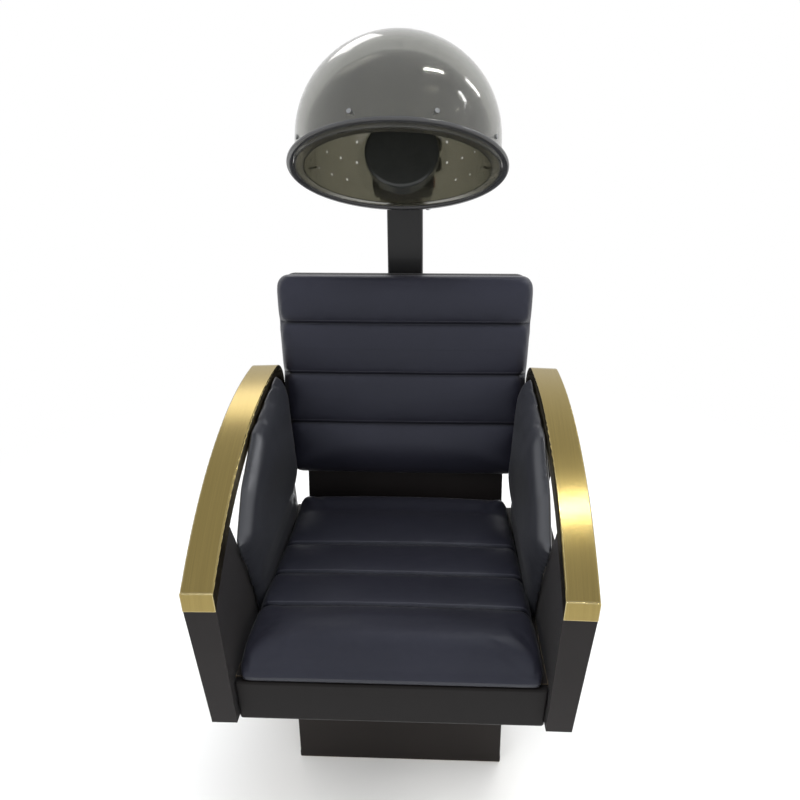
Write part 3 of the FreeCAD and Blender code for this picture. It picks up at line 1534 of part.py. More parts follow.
def make_controls():
    make_dial("timer_dial", s.timer_height)
    make_dial("heat_dial", s.heat_height)
    inside = s.housing_half_width - s.housing_wall
    bodies = []
    for z in (s.timer_height, s.heat_height):
        can = rod((inside - s.control_body_length, dial_depth, z), s.control_body_radius,
                  s.control_body_length, along_x)
        bore = rod((inside - s.housing_wall - s.fit_gap, dial_depth, z),
                   s.dial_shaft_radius + s.running_gap, s.control_body_length, along_x)
        bodies.append(cut(can, [bore]))
    node("dial_switches", gather(bodies, hood_frame))
    y_low = switch_depth - s.switch_frame_width * half
    z_low = s.switch_height - s.switch_frame_height * half
    lip = s.switch_frame_lip
    flange = box((s.housing_half_width, y_low, z_low),
                 (lip, s.switch_frame_width, s.switch_frame_height))
    sleeve = box((s.housing_half_width - s.rocker_radius * 2, y_low + lip, z_low + lip),
                 (s.rocker_radius * 2 + lip * half, s.switch_frame_width - lip * 2,
                  s.switch_frame_height - lip * 2))
    pivot_x = s.housing_half_width - s.rocker_sink + lip
    gap = s.fit_gap
    well = box((pivot_x - s.rocker_radius - gap, switch_depth - s.rocker_width * half - gap,
                s.switch_height - s.rocker_radius - gap),
               (s.rocker_radius * 3, s.rocker_width + gap * 2, s.rocker_radius * 2 + gap * 2))
    node("switch_frame", gather([cut(join([flange, sleeve]), [well])], hood_frame))
    drum = rod((pivot_x, switch_depth - s.rocker_width * half, s.switch_height),
               s.rocker_radius, s.rocker_width, along_y)
    notch = rod((pivot_x + s.rocker_radius + s.rocker_radius - s.rocker_notch,
                 switch_depth - s.rocker_width, s.switch_height),
                s.rocker_radius, s.rocker_width * 2, along_y)
    node("rocker_switch", gather([cut(drum, [notch])], hood_frame))
    lens = rod((s.housing_half_width, lamp_depth, s.switch_height), s.lamp_radius,
               s.lamp_length * half, along_x)
    stem = rod((s.housing_half_width - s.housing_wall, lamp_depth, s.switch_height),
               s.lamp_radius * half, s.housing_wall + s.lamp_length * half, along_x)
    crown = doc.addObject("Part::Sphere", "half_ball")
    crown.Angle1 = 0
    bind(crown, "Radius", s.lamp_radius)
    place(crown, (s.housing_half_width + s.lamp_length * half, lamp_depth, s.switch_height),
          along_x)
    node("pilot_lamp", gather([join([lens, stem, crown])], hood_frame))


make_pedestal()
make_seat_frame()
make_seat_cushion()
make_backrest()
make_arms()
make_post()
make_hood()
node("frame_bolts", gather(frame_bolts))
doc.recompute()

# Checks, then one file for each piece
for thing in doc.Objects:
    for state in thing.State:
        if state in ("Invalid", "Error"):
            raise RuntimeError(f"{thing.Label} failed: {state}")
for thing in nodes:
    if thing.Shape.isNull() or not thing.Shape.isValid():
        raise RuntimeError(f"{thing.Label} has no valid shape")
for thing in nodes:
    thing.Shape.exportStep(f"parts/{thing.Label}.step")
    bounds = thing.Shape.BoundBox
    print(f"{thing.Label}: {len(thing.Shape.Solids)} solids, {thing.Shape.Volume:.0f} mm3, "
          f"x {bounds.XMin:.1f} {bounds.XMax:.1f}, y {bounds.YMin:.1f} {bounds.YMax:.1f}, "
          f"z {bounds.ZMin:.1f} {bounds.ZMax:.1f}")
print(len(nodes), "nodes")
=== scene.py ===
import math

import bmesh
import bpy
from mathutils import Matrix, Vector, kdtree, noise


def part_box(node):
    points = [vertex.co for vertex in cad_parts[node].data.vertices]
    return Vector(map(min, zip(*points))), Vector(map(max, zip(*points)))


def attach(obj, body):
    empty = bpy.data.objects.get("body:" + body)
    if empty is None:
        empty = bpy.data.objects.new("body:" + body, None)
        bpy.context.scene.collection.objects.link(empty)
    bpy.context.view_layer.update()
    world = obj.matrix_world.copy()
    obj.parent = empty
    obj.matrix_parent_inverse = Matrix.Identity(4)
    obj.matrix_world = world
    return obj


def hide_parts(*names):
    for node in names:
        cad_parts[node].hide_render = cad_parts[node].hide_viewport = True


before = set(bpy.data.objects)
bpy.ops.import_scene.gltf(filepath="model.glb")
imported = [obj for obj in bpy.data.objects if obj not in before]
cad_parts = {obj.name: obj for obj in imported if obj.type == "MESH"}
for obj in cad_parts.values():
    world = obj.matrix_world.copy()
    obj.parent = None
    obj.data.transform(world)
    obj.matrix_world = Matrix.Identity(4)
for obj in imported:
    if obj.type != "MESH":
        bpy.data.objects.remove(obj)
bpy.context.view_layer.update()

scene = bpy.context.scene
scene.view_settings.view_transform = "Standard"


# camera, floor and lamps: what a photographer would set up first

cameraSetup = {
    "place": (0.08446, -1.61436, 1.51594),
    "turn": 3.06,          # degrees, to the left
    "down": 25.62,
    "roll": -0.65,
    "lens": 42.78,
    "shiftUp": -0.0148,
}


def addCamera(setup):
    turned = Matrix.Rotation(math.radians(setup["turn"]), 4, "Z")
    tipped = Matrix.Rotation(math.radians(90 - setup["down"]), 4, "X")
    rolled = Matrix.Rotation(math.radians(setup["roll"]), 4, "Z")
    bpy.ops.object.camera_add(location=setup["place"])
    camera = bpy.context.object
    camera.matrix_world = Matrix.Translation(setup["place"]) @ turned @ tipped @ rolled
    camera.data.lens = setup["lens"]
    camera.data.sensor_width = 36
    camera.data.shift_y = setup["shiftUp"]
    camera.data.clip_end = 100
    scene.camera = camera


def linear(red, green, blue):
    values = []
    for value in (red, green, blue):
        share = value / 255
        values.append(share / 12.92 if share <= 0.04045 else ((share + 0.055) / 1.055) ** 2.4)
    return (*values, 1.0)


def feed(tree, socket, value):
    # a socket takes a link from another one, or a plain value
    if isinstance(value, bpy.types.NodeSocket):
        tree.links.new(value, socket)
    else:
        socket.default_value = value


def grower(tree):
    # a short way to add a node and feed its sockets, by name or number
    def add(kind, sockets=None, **settings):
        node = tree.nodes.new("ShaderNode" + kind)
        for name, value in settings.items():
            setattr(node, name, value)
        for name, value in (sockets or {}).items():
            feed(tree, node.inputs[name], value)
        return node
    return add


studio = {
    "floorColour": (240, 240, 239),
    "floorSize": 70.0,
    "clearFrom": 0.55,       # metres from the middle, where the floor starts to fade to white
    "clearTo": 1.7,
    "roomLight": 0.62,
    "ceiling": 0.66,         # what polished things see straight above them
    "ceilingFrom": 0.35,     # how steeply they have to look up for the dimming to start
    "ceilingTo": 0.9,
    "lamps": (
        # name, place, aimed at, width, length, watts, colour, mirrored in gloss
        ("lampLeft", (-1.6, -1.9, 2.5), (0.0, 0.0, 0.6), 1.4, 1.4, 48, (1.0, 0.99, 0.97), False),
        ("lampRight", (1.75, -0.9, 1.9), (0.0, 0.0, 0.9), 0.8, 0.8, 16, (1.0, 0.99, 0.97), False),
        ("lampTop", (0.1, -0.35, 3.0), (0.0, -0.1, 0.4), 1.5, 1.1, 46, (0.86, 0.91, 1.0), False),
        ("lampBack", (0.9, 2.2, 2.2), (0.0, 0.0, 0.9), 1.4, 1.0, 34, (1.0, 1.0, 1.0), False),
        ("lampFront", (0.4, -2.6, 1.6), (0.0, 0.0, 0.4), 1.8, 1.0, 12, (0.97, 0.98, 1.0), False),
        ("windowHigh", (0.82, 0.10, 2.7), (0.3, -0.2, 0.7), 0.07, 0.50, 7.0, (1.0, 0.98, 0.90), True),
        ("windowBack", (-1.0, 2.5, 2.6), (-0.3, 0.0, 0.8), 1.0, 0.9, 8.0, (1.0, 0.97, 0.96), True),
        ("windowRight", (2.65, 0.29, 2.84), (0.0, 0.0, 1.25), 0.13, 0.52, 4.0, (1.0, 1.0, 1.0), True),
        ("windowFar", (2.35, 1.43, 2.55), (0.0, 0.0, 1.25), 0.17, 0.75, 6.0, (1.0, 1.0, 1.0), True),
    ),
}


def directRays(add):
    # 1 where the camera, a polished thing or a clear plastic looks, 0 for light that falls on things
    ray = add("LightPath")
    seen = add("Math", {0: ray.outputs["Is Camera Ray"], 1: ray.outputs["Is Glossy Ray"]},
               operation="MAXIMUM")
    both = add("Math", {0: seen.outputs[0], 1: ray.outputs["Is Transmission Ray"]}, operation="MAXIMUM")
    return both.outputs[0]


def addStudio(setup):
    bpy.ops.mesh.primitive_plane_add(size=setup["floorSize"], location=(0, 0, 0))
    floor = bpy.context.object
    floor.name = "studioFloor"

    paper = bpy.data.materials.new("studioPaper")
    paper.use_nodes = True
    tree = paper.node_tree
    tree.nodes.clear()
    add = grower(tree)
    where = add("TexCoord")
    away = add("VectorMath", {0: where.outputs["Object"]}, operation="LENGTH")
    faded = add("MapRange", {
        "Value": away.outputs["Value"],
        "From Min": setup["clearFrom"],
        "From Max": setup["clearTo"],
    }, interpolation_type="SMOOTHSTEP")
    share = add("Math", {0: directRays(add), 1: faded.outputs[0]}, operation="MULTIPLY")
    lit = add("BsdfDiffuse", {"Color": linear(*setup["floorColour"])})
    white = add("Emission", {"Color": (1, 1, 1, 1), "Strength": 1.0})
    mix = add("MixShader", {0: share.outputs[0], 1: lit.outputs[0], 2: white.outputs[0]})
    add("OutputMaterial", {"Surface": mix.outputs[0]})
    floor.data.materials.append(paper)

    world = bpy.data.worlds.new("studioWorld")
    world.use_nodes = True
    scene.world = world
    world.node_tree.nodes.clear()
    add = grower(world.node_tree)
    # polished things mirror a dimmer ceiling than the white behind them
    where = add("TexCoord")
    split = add("SeparateXYZ", {0: where.outputs["Generated"]})
    ceiling = add("MapRange", {
        "Value": split.outputs["Z"],
        "From Min": setup["ceilingFrom"],
        "From Max": setup["ceilingTo"],
        "To Min": 1.0,
        "To Max": setup["ceiling"],
    }, interpolation_type="SMOOTHSTEP")
    glossy = add("LightPath").outputs["Is Glossy Ray"]
    mirrored = add("Mix", {0: glossy, 2: 1.0, 3: ceiling.outputs[0]})
    strength = add("MapRange", {"Value": directRays(add), "To Min": setup["roomLight"],
                                "To Max": mirrored.outputs[0]})
    sky = add("Background", {"Color": (1, 1, 1, 1), "Strength": strength.outputs[0]})
    add("OutputWorld", {"Surface": sky.outputs[0]})

    for name, place, aim, width, length, watts, colour, mirrored in setup["lamps"]:
        bpy.ops.object.light_add(type="AREA", location=place)
        lamp = bpy.context.object
        lamp.name = name
        lamp.data.shape = "RECTANGLE"
        lamp.data.size = width
        lamp.data.size_y = length
        lamp.data.energy = watts
        lamp.data.color = colour
        lamp.visible_camera = False
        lamp.visible_glossy = mirrored
        lamp.visible_transmission = mirrored
        lamp.rotation_euler = (Vector(aim) - Vector(place)).to_track_quat("-Z", "Y").to_euler()


bpy.ops.object.select_all(action="DESELECT")
addCamera(cameraSetup)
addStudio(studio)
print("camera, floor and lamps are in place")


# effects that several finishes share

def newGroup(name, inputs, outputs):
    group = bpy.data.node_groups.new(name, "ShaderNodeTree")
    for label, value in inputs.items():
        socket = group.interface.new_socket(label, in_out="INPUT", socket_type="NodeSocketFloat")
        socket.default_value = value
    for label in outputs:
        group.interface.new_socket(label, in_out="OUTPUT", socket_type="NodeSocketFloat")
    add = grower(group)
    given = group.nodes.new("NodeGroupInput").outputs
    result = group.nodes.new("NodeGroupOutput").inputs

    def give(**values):
        for label, value in values.items():
            feed(group, result[label], value)
        return group

    return add, add("TexCoord").outputs["Object"], given, give


def makePebbleGrain():
    # the embossed grain of upholstery vinyl: creases between small cells, over soft hills
    add, where, given, give = newGroup(
        "pebbleGrain", {"Density": 620.0, "Wander": 0.0006}, ("Height", "Tone"))
    wobble = add("TexNoise", {"Vector": where, "Scale": 240.0, "Detail": 2.0})
    centred = add("VectorMath", {0: wobble.outputs["Color"], 1: (0.5, 0.5, 0.5)}, operation="SUBTRACT")
    small = add("VectorMath", {0: centred.outputs[0], "Scale": given["Wander"]}, operation="SCALE")
    place = add("VectorMath", {0: where, 1: small.outputs[0]}, operation="ADD")
    cells = add("TexVoronoi", {"Vector": place.outputs[0], "Scale": given["Density"], "Randomness": 0.85},
                feature="DISTANCE_TO_EDGE")
    crease = add("MapRange", {"Value": cells.outputs["Distance"], "From Max": 0.22},
                 interpolation_type="SMOOTHSTEP")
    hills = add("TexNoise", {"Vector": where, "Scale": 130.0, "Detail": 3.0})
    rise = add("Math", {0: hills.outputs["Fac"], 1: 0.55}, operation="MULTIPLY")
    height = add("Math", {0: crease.outputs[0], 1: rise.outputs[0]}, operation="ADD")
    wide = add("TexNoise", {"Vector": where, "Scale": 7.0, "Detail": 4.0, "Roughness": 0.6})
    return give(Height=height.outputs[0], Tone=wide.outputs["Fac"])


def makeEdgeWearAndGlint():
    # where edges are rubbed: the rounded normal leaves the true one there. The Edge output alone, without
    # the patches, lays a painted highlight along the gold's edges
    add, where, given, give = newGroup("edgeWearAndGlint", {"Reach": 0.0015, "Patches": 30.0}, ("Mask", "Edge"))
    rounded = add("Bevel", {"Radius": given["Reach"]}, samples=4)
    true = add("NewGeometry")
    alike = add("VectorMath", {0: rounded.outputs[0], 1: true.outputs["Normal"]}, operation="DOT_PRODUCT")
    edge = add("MapRange", {"Value": alike.outputs["Value"], "From Min": 0.995, "From Max": 0.8})
    patchy = add("TexNoise", {"Vector": where, "Scale": given["Patches"], "Detail": 4.0, "Roughness": 0.65})
    some = add("MapRange", {"Value": patchy.outputs["Fac"], "From Min": 0.38, "From Max": 0.62})
    mask = add("Math", {0: edge.outputs[0], 1: some.outputs[0]}, operation="MULTIPLY", use_clamp=True)
    return give(Mask=mask.outputs[0], Edge=edge.outputs[0])


def makeBrushLines():
    # long fine scratches that run front to back and up, so they change fast only across the width
    add, where, given, give = newGroup("brushLines", {"Density": 700.0, "Drift": 4.0}, ("Height", "Tone"))
    split = add("SeparateXYZ", {0: where}).outputs
    place = {}
    for axis, factor in (("X", "Density"), ("Y", "Drift"), ("Z", "Drift")):
        place[axis] = add("Math", {0: split[axis], 1: given[factor]}, operation="MULTIPLY").outputs[0]
    stretched = add("CombineXYZ", place)
    lines = add("TexNoise", {"Vector": stretched.outputs[0], "Scale": 1.0, "Detail": 5.0, "Roughness": 0.7})
    broad = add("TexNoise", {"Vector": where, "Scale": 18.0, "Detail": 2.0})
    return give(Height=lines.outputs["Fac"], Tone=broad.outputs["Fac"])


def makeFineSpeckle():
    # the orange peel of powder paint and moulded plastic, with a slow change of tone
    add, where, given, give = newGroup("fineSpeckle", {"Density": 900.0, "Clouds": 9.0}, ("Height", "Tone"))
    peel = add("TexNoise", {"Vector": where, "Scale": given["Density"], "Detail": 2.0, "Roughness": 0.5})
    clouds = add("TexNoise", {"Vector": where, "Scale": given["Clouds"], "Detail": 5.0, "Roughness": 0.6})
    return give(Height=peel.outputs["Fac"], Tone=clouds.outputs["Fac"])


def makeDustFilm():
    # a little dust, only on what faces up
    add, where, given, give = newGroup("dustFilm", {"Amount": 0.2}, ("Mask",))
    surface = add("NewGeometry")
    split = add("SeparateXYZ", {0: surface.outputs["Normal"]})
    up = add("MapRange", {"Value": split.outputs["Z"], "From Min": 0.35, "From Max": 1.0})
    flecks = add("TexNoise", {"Vector": where, "Scale": 85.0, "Detail": 5.0, "Roughness": 0.75})
    some = add("MapRange", {"Value": flecks.outputs["Fac"], "From Min": 0.4, "From Max": 0.75})
    both = add("Math", {0: up.outputs[0], 1: some.outputs[0]}, operation="MULTIPLY")
    mask = add("Math", {0: both.outputs[0], 1: given["Amount"]}, operation="MULTIPLY")
    return give(Mask=mask.outputs[0])


pebbleGrain = makePebbleGrain()
edgeWearAndGlint = makeEdgeWearAndGlint()
brushLines = makeBrushLines()
fineSpeckle = makeFineSpeckle()
dustFilm = makeDustFilm()


def newMaterial(name):
    material = bpy.data.materials.new(name)
    material.use_nodes = True
    material.node_tree.nodes.clear()
    add = grower(material.node_tree)
    shader = add("BsdfPrincipled")
    add("OutputMaterial", {"Surface": shader.outputs[0]})

    def use(group, **values):
        node = add("Group", node_tree=group)
        for label, value in values.items():
            node.inputs[label].default_value = value
        return node

    def put(label, value):
        feed(material.node_tree, shader.inputs[label], value)

    return material, add, use, put


def blendColours(add, share, first, second):
    return add("Mix", {0: share, 6: first, 7: second}, data_type="RGBA").outputs[2]


def twoTone(add, share, look):
    return blendColours(add, share, linear(*look["dark"]), linear(*look["light"]))


def bumped(add, height, strength, distance, under=None):
    sockets = {"Height": height, "Strength": strength, "Distance": distance}
    if under:
        sockets["Normal"] = under
    return add("Bump", sockets).outputs[0]


def scaled(add, value, low, high):
    return add("MapRange", {"Value": value, "To Min": low, "To Max": high}).outputs[0]


def between(add, value, ends):
    # 0 at the first end, 1 at the second
    return add("MapRange", {"Value": value, "From Min": ends[0], "From Max": ends[1]}).outputs[0]


# vinyl: black with a cool sheen, and a browner one on the pedestal. The apron's copy is darker as painted
# shade under the seat, and the wings' and the back's copies are lighter as painted light

vinylLooks = {
    "seatVinyl": {
        "dark": (20, 20, 26), "light": (30, 30, 38), "rubbed": (46, 46, 52),
        "rough": (0.3, 0.38), "grain": 0.18, "gloss": 0.34, "slack": 0.1, "tint": (0.8, 0.86, 1.0),
    },
    # painted light: the back's copy is a little lighter than the seat's, as the back leans towards the
    # light
    "backPadVinylLit": {
        "dark": (22, 22, 29), "light": (32, 32, 41), "rubbed": (48, 48, 56),
        "rough": (0.3, 0.4), "grain": 0.18, "gloss": 0.36, "slack": 0.1, "tint": (0.8, 0.85, 1.0),
    },
    "blackVinyl": {
        "dark": (21, 19, 19), "light": (31, 28, 28), "rubbed": (50, 46, 45),
        "rough": (0.34, 0.46), "grain": 0.22, "gloss": 0.18, "slack": 0.12, "tint": (1.0, 0.97, 0.95),
    },
    # painted light: the wings' copy is much lighter than the others, where light falls on their bulge
    "padVinylLit": {
        "dark": (30, 31, 35), "light": (41, 42, 47), "rubbed": (58, 58, 62),
        "rough": (0.25, 0.34), "grain": 0.12, "gloss": 0.95, "slack": 0.12, "tint": (0.94, 0.96, 1.0),
    },
    "backVinyl": {
        "dark": (16, 16, 18), "light": (24, 24, 27), "rubbed": (46, 45, 46),
        "rough": (0.4, 0.52), "grain": 0.28, "gloss": 0.2, "slack": 0.14, "tint": (1.0, 1.0, 1.0),
    },
    # painted shade: the apron's copy is darker, as the seat's overhang shades it
    "apronVinylShaded": {
        "dark": (14, 13, 13), "light": (21, 19, 19), "rubbed": (44, 40, 38),
        "rough": (0.36, 0.46), "grain": 0.2, "gloss": 0.14, "slack": 0.12, "tint": (1.0, 0.97, 0.95),
    },
    "baseVinyl": {
        "dark": (21, 18, 17), "light": (31, 27, 25), "rubbed": (56, 50, 46),
        "rough": (0.38, 0.5), "grain": 0.25, "gloss": 0.2, "slack": 0.14, "tint": (1.0, 0.96, 0.93),
    },
}

stitching = {                  # metres from the seam
    # crease: the reach of the painted shade that darkens each seam, from full to none
    "crease": (0.0045, 0.0005),
    "row": 0.0062,             # the line of stitches beside it
    "thread": (0.0011, 0.0004),
    "perMetre": 210.0,
    "gap": (0.22, 0.34),       # share of a stitch's length
    # shade is the colour of that painted shade; colour is the thread's own
    "shade": (9, 9, 11), "colour": (74, 74, 80), "raised": 0.0008,
}
dustColours = {"vinyl": (120, 118, 116), "plastic": (128, 126, 122)}


def makeVinyl(name, look):
    material, add, use, put = newMaterial(name)
    grain = use(pebbleGrain, Density=640.0)
    wear = use(edgeWearAndGlint, Reach=0.003, Patches=22.0)
    dust = use(dustFilm, Amount=0.015)
    # the sewn lines: an attribute holds the signed distance to the nearest one, in metres
    seam = add("Attribute", attribute_name="seamAway")
    near = add("Math", {0: seam.outputs["Fac"]}, operation="ABSOLUTE")
    sewn = add("Attribute", attribute_name="sewn")
    crease = between(add, near.outputs[0], stitching["crease"])
    deep = add("Math", {0: crease, 1: sewn.outputs["Fac"]}, operation="MULTIPLY")
    offset = add("Math", {0: seam.outputs["Fac"], 1: stitching["row"]}, operation="SUBTRACT")
    offRow = add("Math", {0: offset.outputs[0]}, operation="ABSOLUTE")
    row = between(add, offRow.outputs[0], stitching["thread"])
    where = add("TexCoord")
    side = add("SeparateXYZ", {0: where.outputs["Object"]})
    steps = add("Math", {0: side.outputs["X"], 1: stitching["perMetre"]}, operation="MULTIPLY")
    step = add("Math", {0: steps.outputs[0]}, operation="FRACT")
    dash = between(add, step.outputs[0], stitching["gap"])
    thread = add("Math", {0: row, 1: dash}, operation="MULTIPLY")
    stitch = add("Math", {0: thread.outputs[0], 1: sewn.outputs["Fac"]}, operation="MULTIPLY")

    plain = twoTone(add, grain.outputs["Tone"], look)
    rubbed = blendColours(add, scaled(add, wear.outputs["Mask"], 0.0, 0.5), plain, linear(*look["rubbed"]))
    dusty = blendColours(add, dust.outputs["Mask"], rubbed, linear(*dustColours["vinyl"]))
    # painted shade: the seam creases are darkened towards the shade colour
    creasePaintedShade = scaled(add, deep.outputs[0], 0.0, 0.75)
    shadowed = blendColours(add, creasePaintedShade, dusty, linear(*stitching["shade"]))
    onThread = scaled(add, stitch.outputs[0], 0.0, 0.55)
    put("Base Color", blendColours(add, onThread, shadowed, linear(*stitching["colour"])))
    put("Roughness", scaled(add, grain.outputs["Tone"], *look["rough"]))
    put("Specular IOR Level", look["gloss"])
    put("Specular Tint", (*look["tint"], 1.0))
    put("Sheen Weight", 0.04)
    put("Sheen Roughness", 0.4)
    loose = add("TexNoise", {"Vector": where.outputs["Object"], "Scale": 9.0, "Detail": 0.0})
    uneven = bumped(add, loose.outputs["Fac"], look["slack"], 0.004)
    pitted = bumped(add, grain.outputs["Height"], look["grain"], 0.0006, uneven)
    put("Normal", bumped(add, stitch.outputs[0], 0.6, stitching["raised"], pitted))
    return material


# metals

metalLooks = {
    # brushedGold: edge is the share of a painted highlight laid along every edge, in its near-white colour;
    # the other metals get patchy wear in theirs
    "brushedGold": {"dark": (144, 127, 78), "light": (168, 150, 95), "wornAndGlint": (244, 234, 192),
                    "rough": (0.22, 0.30), "lines": 1500.0, "depth": 0.025, "edge": 0.9},
    "zincSteel": {"dark": (128, 130, 132), "light": (176, 178, 180), "wornAndGlint": (205, 206, 208),
                  "rough": (0.30, 0.48), "lines": 500.0, "depth": 0.08},
    "leverChrome": {"dark": (196, 198, 200), "light": (226, 228, 230), "wornAndGlint": (240, 240, 240),
                    "rough": (0.06, 0.14), "lines": 300.0, "depth": 0.02},
    "motorSteel": {"dark": (96, 98, 100), "light": (142, 144, 146), "wornAndGlint": (190, 190, 190),
                   "rough": (0.34, 0.52), "lines": 400.0, "depth": 0.10},
    "heaterWire": {"dark": (92, 84, 78), "light": (136, 122, 108), "wornAndGlint": (170, 160, 150),
                   "rough": (0.35, 0.55), "lines": 800.0, "depth": 0.10},
}


def makeMetal(name, look):
    material, add, use, put = newMaterial(name)
    lines = use(brushLines, Density=look["lines"])
    wear = use(edgeWearAndGlint, Reach=0.0026 if "edge" in look else 0.0012, Patches=26.0)
    streak = add("MapRange", {"Value": lines.outputs["Height"], "From Min": 0.25, "From Max": 0.75})
    plain = twoTone(add, streak.outputs[0], look)
    # on the gold a painted highlight runs along every edge; on the other metals the light colour marks
    # patchy wear
    wearAndEdgeGlint = scaled(add, wear.outputs["Edge" if "edge" in look else "Mask"], 0.0, look.get("edge", 0.8))
    put("Base Color", blendColours(add, wearAndEdgeGlint, plain, linear(*look["wornAndGlint"])))
    put("Metallic", 1.0)
    both = add("Math", {0: lines.outputs["Tone"], 1: streak.outputs[0]}, operation="MULTIPLY")
    put("Roughness", scaled(add, both.outputs[0], *look["rough"]))
    put("Normal", bumped(add, lines.outputs["Height"], look["depth"], 0.0004))
    return material


# paint, plastic, board and the small finishes

plasticLooks = {
    "charcoalPaint": {"dark": (14, 14, 15), "light": (21, 21, 22), "wornAndGlint": (62, 62, 62),
                      "rough": (0.38, 0.50), "peel": 1100.0, "depth": 0.10, "dust": 0.18, "coat": 0.1},
    "glossBlack": {"dark": (18, 18, 19), "light": (26, 26, 27), "wornAndGlint": (62, 62, 64),
                   "rough": (0.10, 0.20), "peel": 500.0, "depth": 0.02, "dust": 0.10, "coat": 0.3},
    "fanPlastic": {"dark": (40, 42, 41), "light": (52, 54, 53), "wornAndGlint": (80, 80, 80),
                   "rough": (0.20, 0.30), "peel": 500.0, "depth": 0.02, "dust": 0.06, "coat": 0.2},
    "rimPlastic": {"dark": (44, 44, 45), "light": (56, 56, 57), "wornAndGlint": (80, 80, 82),
                   "rough": (0.14, 0.24), "peel": 500.0, "depth": 0.02, "dust": 0.06, "coat": 0.35},
    "mattBlack": {"dark": (20, 20, 21), "light": (30, 30, 31), "wornAndGlint": (62, 62, 62),
                  "rough": (0.48, 0.62), "peel": 1300.0, "depth": 0.16, "dust": 0.22, "coat": 0.0},
    "glidePlastic": {"dark": (22, 22, 22), "light": (34, 34, 34), "wornAndGlint": (70, 70, 70),
                     "rough": (0.50, 0.66), "peel": 700.0, "depth": 0.12, "dust": 0.0, "coat": 0.0},
    "rockerRed": {"dark": (150, 18, 14), "light": (178, 30, 22), "wornAndGlint": (196, 90, 80),
                  "rough": (0.24, 0.34), "peel": 900.0, "depth": 0.05, "dust": 0.08, "coat": 0.1},
    "micaSheet": {"dark": (150, 138, 112), "light": (186, 176, 150), "wornAndGlint": (205, 198, 180),
                  "rough": (0.36, 0.52), "peel": 320.0, "depth": 0.18, "dust": 0.05, "coat": 0.0},
    "nylonWasher": {"dark": (52, 51, 50), "light": (66, 65, 63), "wornAndGlint": (96, 95, 94),
                    "rough": (0.44, 0.56), "peel": 800.0, "depth": 0.10, "dust": 0.05, "coat": 0.0},
}


def makePlastic(name, look):
    material, add, use, put = newMaterial(name)
    speckle = use(fineSpeckle, Density=look["peel"])
    wear = use(edgeWearAndGlint, Reach=0.001, Patches=34.0)
    dust = use(dustFilm, Amount=look["dust"])
    plain = twoTone(add, speckle.outputs["Tone"], look)
    wornAndGlint = blendColours(add, scaled(add, wear.outputs["Mask"], 0.0, 0.55), plain, linear(*look["wornAndGlint"]))
    put("Base Color", blendColours(add, dust.outputs["Mask"], wornAndGlint, linear(*dustColours["plastic"])))
    put("Roughness", scaled(add, speckle.outputs["Tone"], *look["rough"]))
    put("Specular IOR Level", 0.35)
    put("Coat Weight", look["coat"])
    put("Coat Roughness", 0.08)
    put("Normal", bumped(add, speckle.outputs["Height"], look["depth"], 0.0004))
    return material


smokedLooks = {
    "smokedShell": {"dark": (180, 180, 176), "light": (197, 197, 192), "rough": 0.04, "clear": 0.94},
    "smokedBowl": {"dark": (130, 127, 110), "light": (147, 144, 126), "rough": 0.10, "clear": 0.92},
    "lampLens": {"dark": (190, 70, 20), "light": (214, 96, 34), "rough": 0.12, "clear": 0.8},
}


def makeSmoked(name, look):
    # see-through grey plastic, with smudges that only change its gloss
    material, add, use, put = newMaterial(name)
    speckle = use(fineSpeckle, Density=240.0, Clouds=14.0)
    put("Base Color", twoTone(add, speckle.outputs["Tone"], look))
    put("Transmission Weight", look["clear"])
    put("Metallic", 0.0)
    put("IOR", 1.46)
    put("Roughness", scaled(add, speckle.outputs["Tone"], look["rough"], look["rough"] + 0.1))
    put("Normal", bumped(add, speckle.outputs["Height"], 0.02, 0.0005))
    return material


def makeBoard(name, dark, light):
    # plywood: long grain lines with rings of tone
    material, add, use, put = newMaterial(name)
    lines = use(brushLines, Density=90.0, Drift=11.0)
    wear = use(edgeWearAndGlint, Reach=0.002, Patches=18.0)
    plain = blendColours(add, lines.outputs["Height"], linear(*dark), linear(*light))
    rubbed = scaled(add, wear.outputs["Mask"], 0.0, 0.4)
    put("Base Color", blendColours(add, rubbed, plain, linear(205, 180, 140)))
    put("Roughness", scaled(add, lines.outputs["Tone"], 0.55, 0.75))
    put("Normal", bumped(add, lines.outputs["Height"], 0.2, 0.0006))
    return material


def makeDustCloth(name):
    # the black spunbond under the seat
    material, add, use, put = newMaterial(name)
    where = add("TexCoord")
    threads = {"Vector": where.outputs["Object"], "Scale": 420.0, "Distortion": 0.6}
    first, second = (add("TexWave", threads, bands_direction=way).outputs["Fac"] for way in "XY")
    weave = add("Math", {0: first, 1: second}, operation="MULTIPLY")
    speckle = use(fineSpeckle, Density=60.0)
    put("Base Color", blendColours(add, speckle.outputs["Tone"], linear(18, 18, 18), linear(34, 34, 34)))
    put("Roughness", scaled(add, speckle.outputs["Tone"], 0.8, 0.95))
    put("Normal", bumped(add, weave.outputs[0], 0.3, 0.0005))
    return material


finish = {}
for name, look in vinylLooks.items():
    finish[name] = makeVinyl(name, look)
for name, look in metalLooks.items():
    finish[name] = makeMetal(name, look)
for name, look in plasticLooks.items():
    finish[name] = makePlastic(name, look)
for name, look in smokedLooks.items():
    finish[name] = makeSmoked(name, look)
finish["seatBoard"] = makeBoard("seatBoard", (150, 116, 72), (186, 150, 102))
finish["stainedBoard"] = makeBoard("stainedBoard", (22, 20, 19), (38, 34, 32))
finish["dustCloth"] = makeDustCloth("dustCloth")
print("finishes are made:", len(finish))


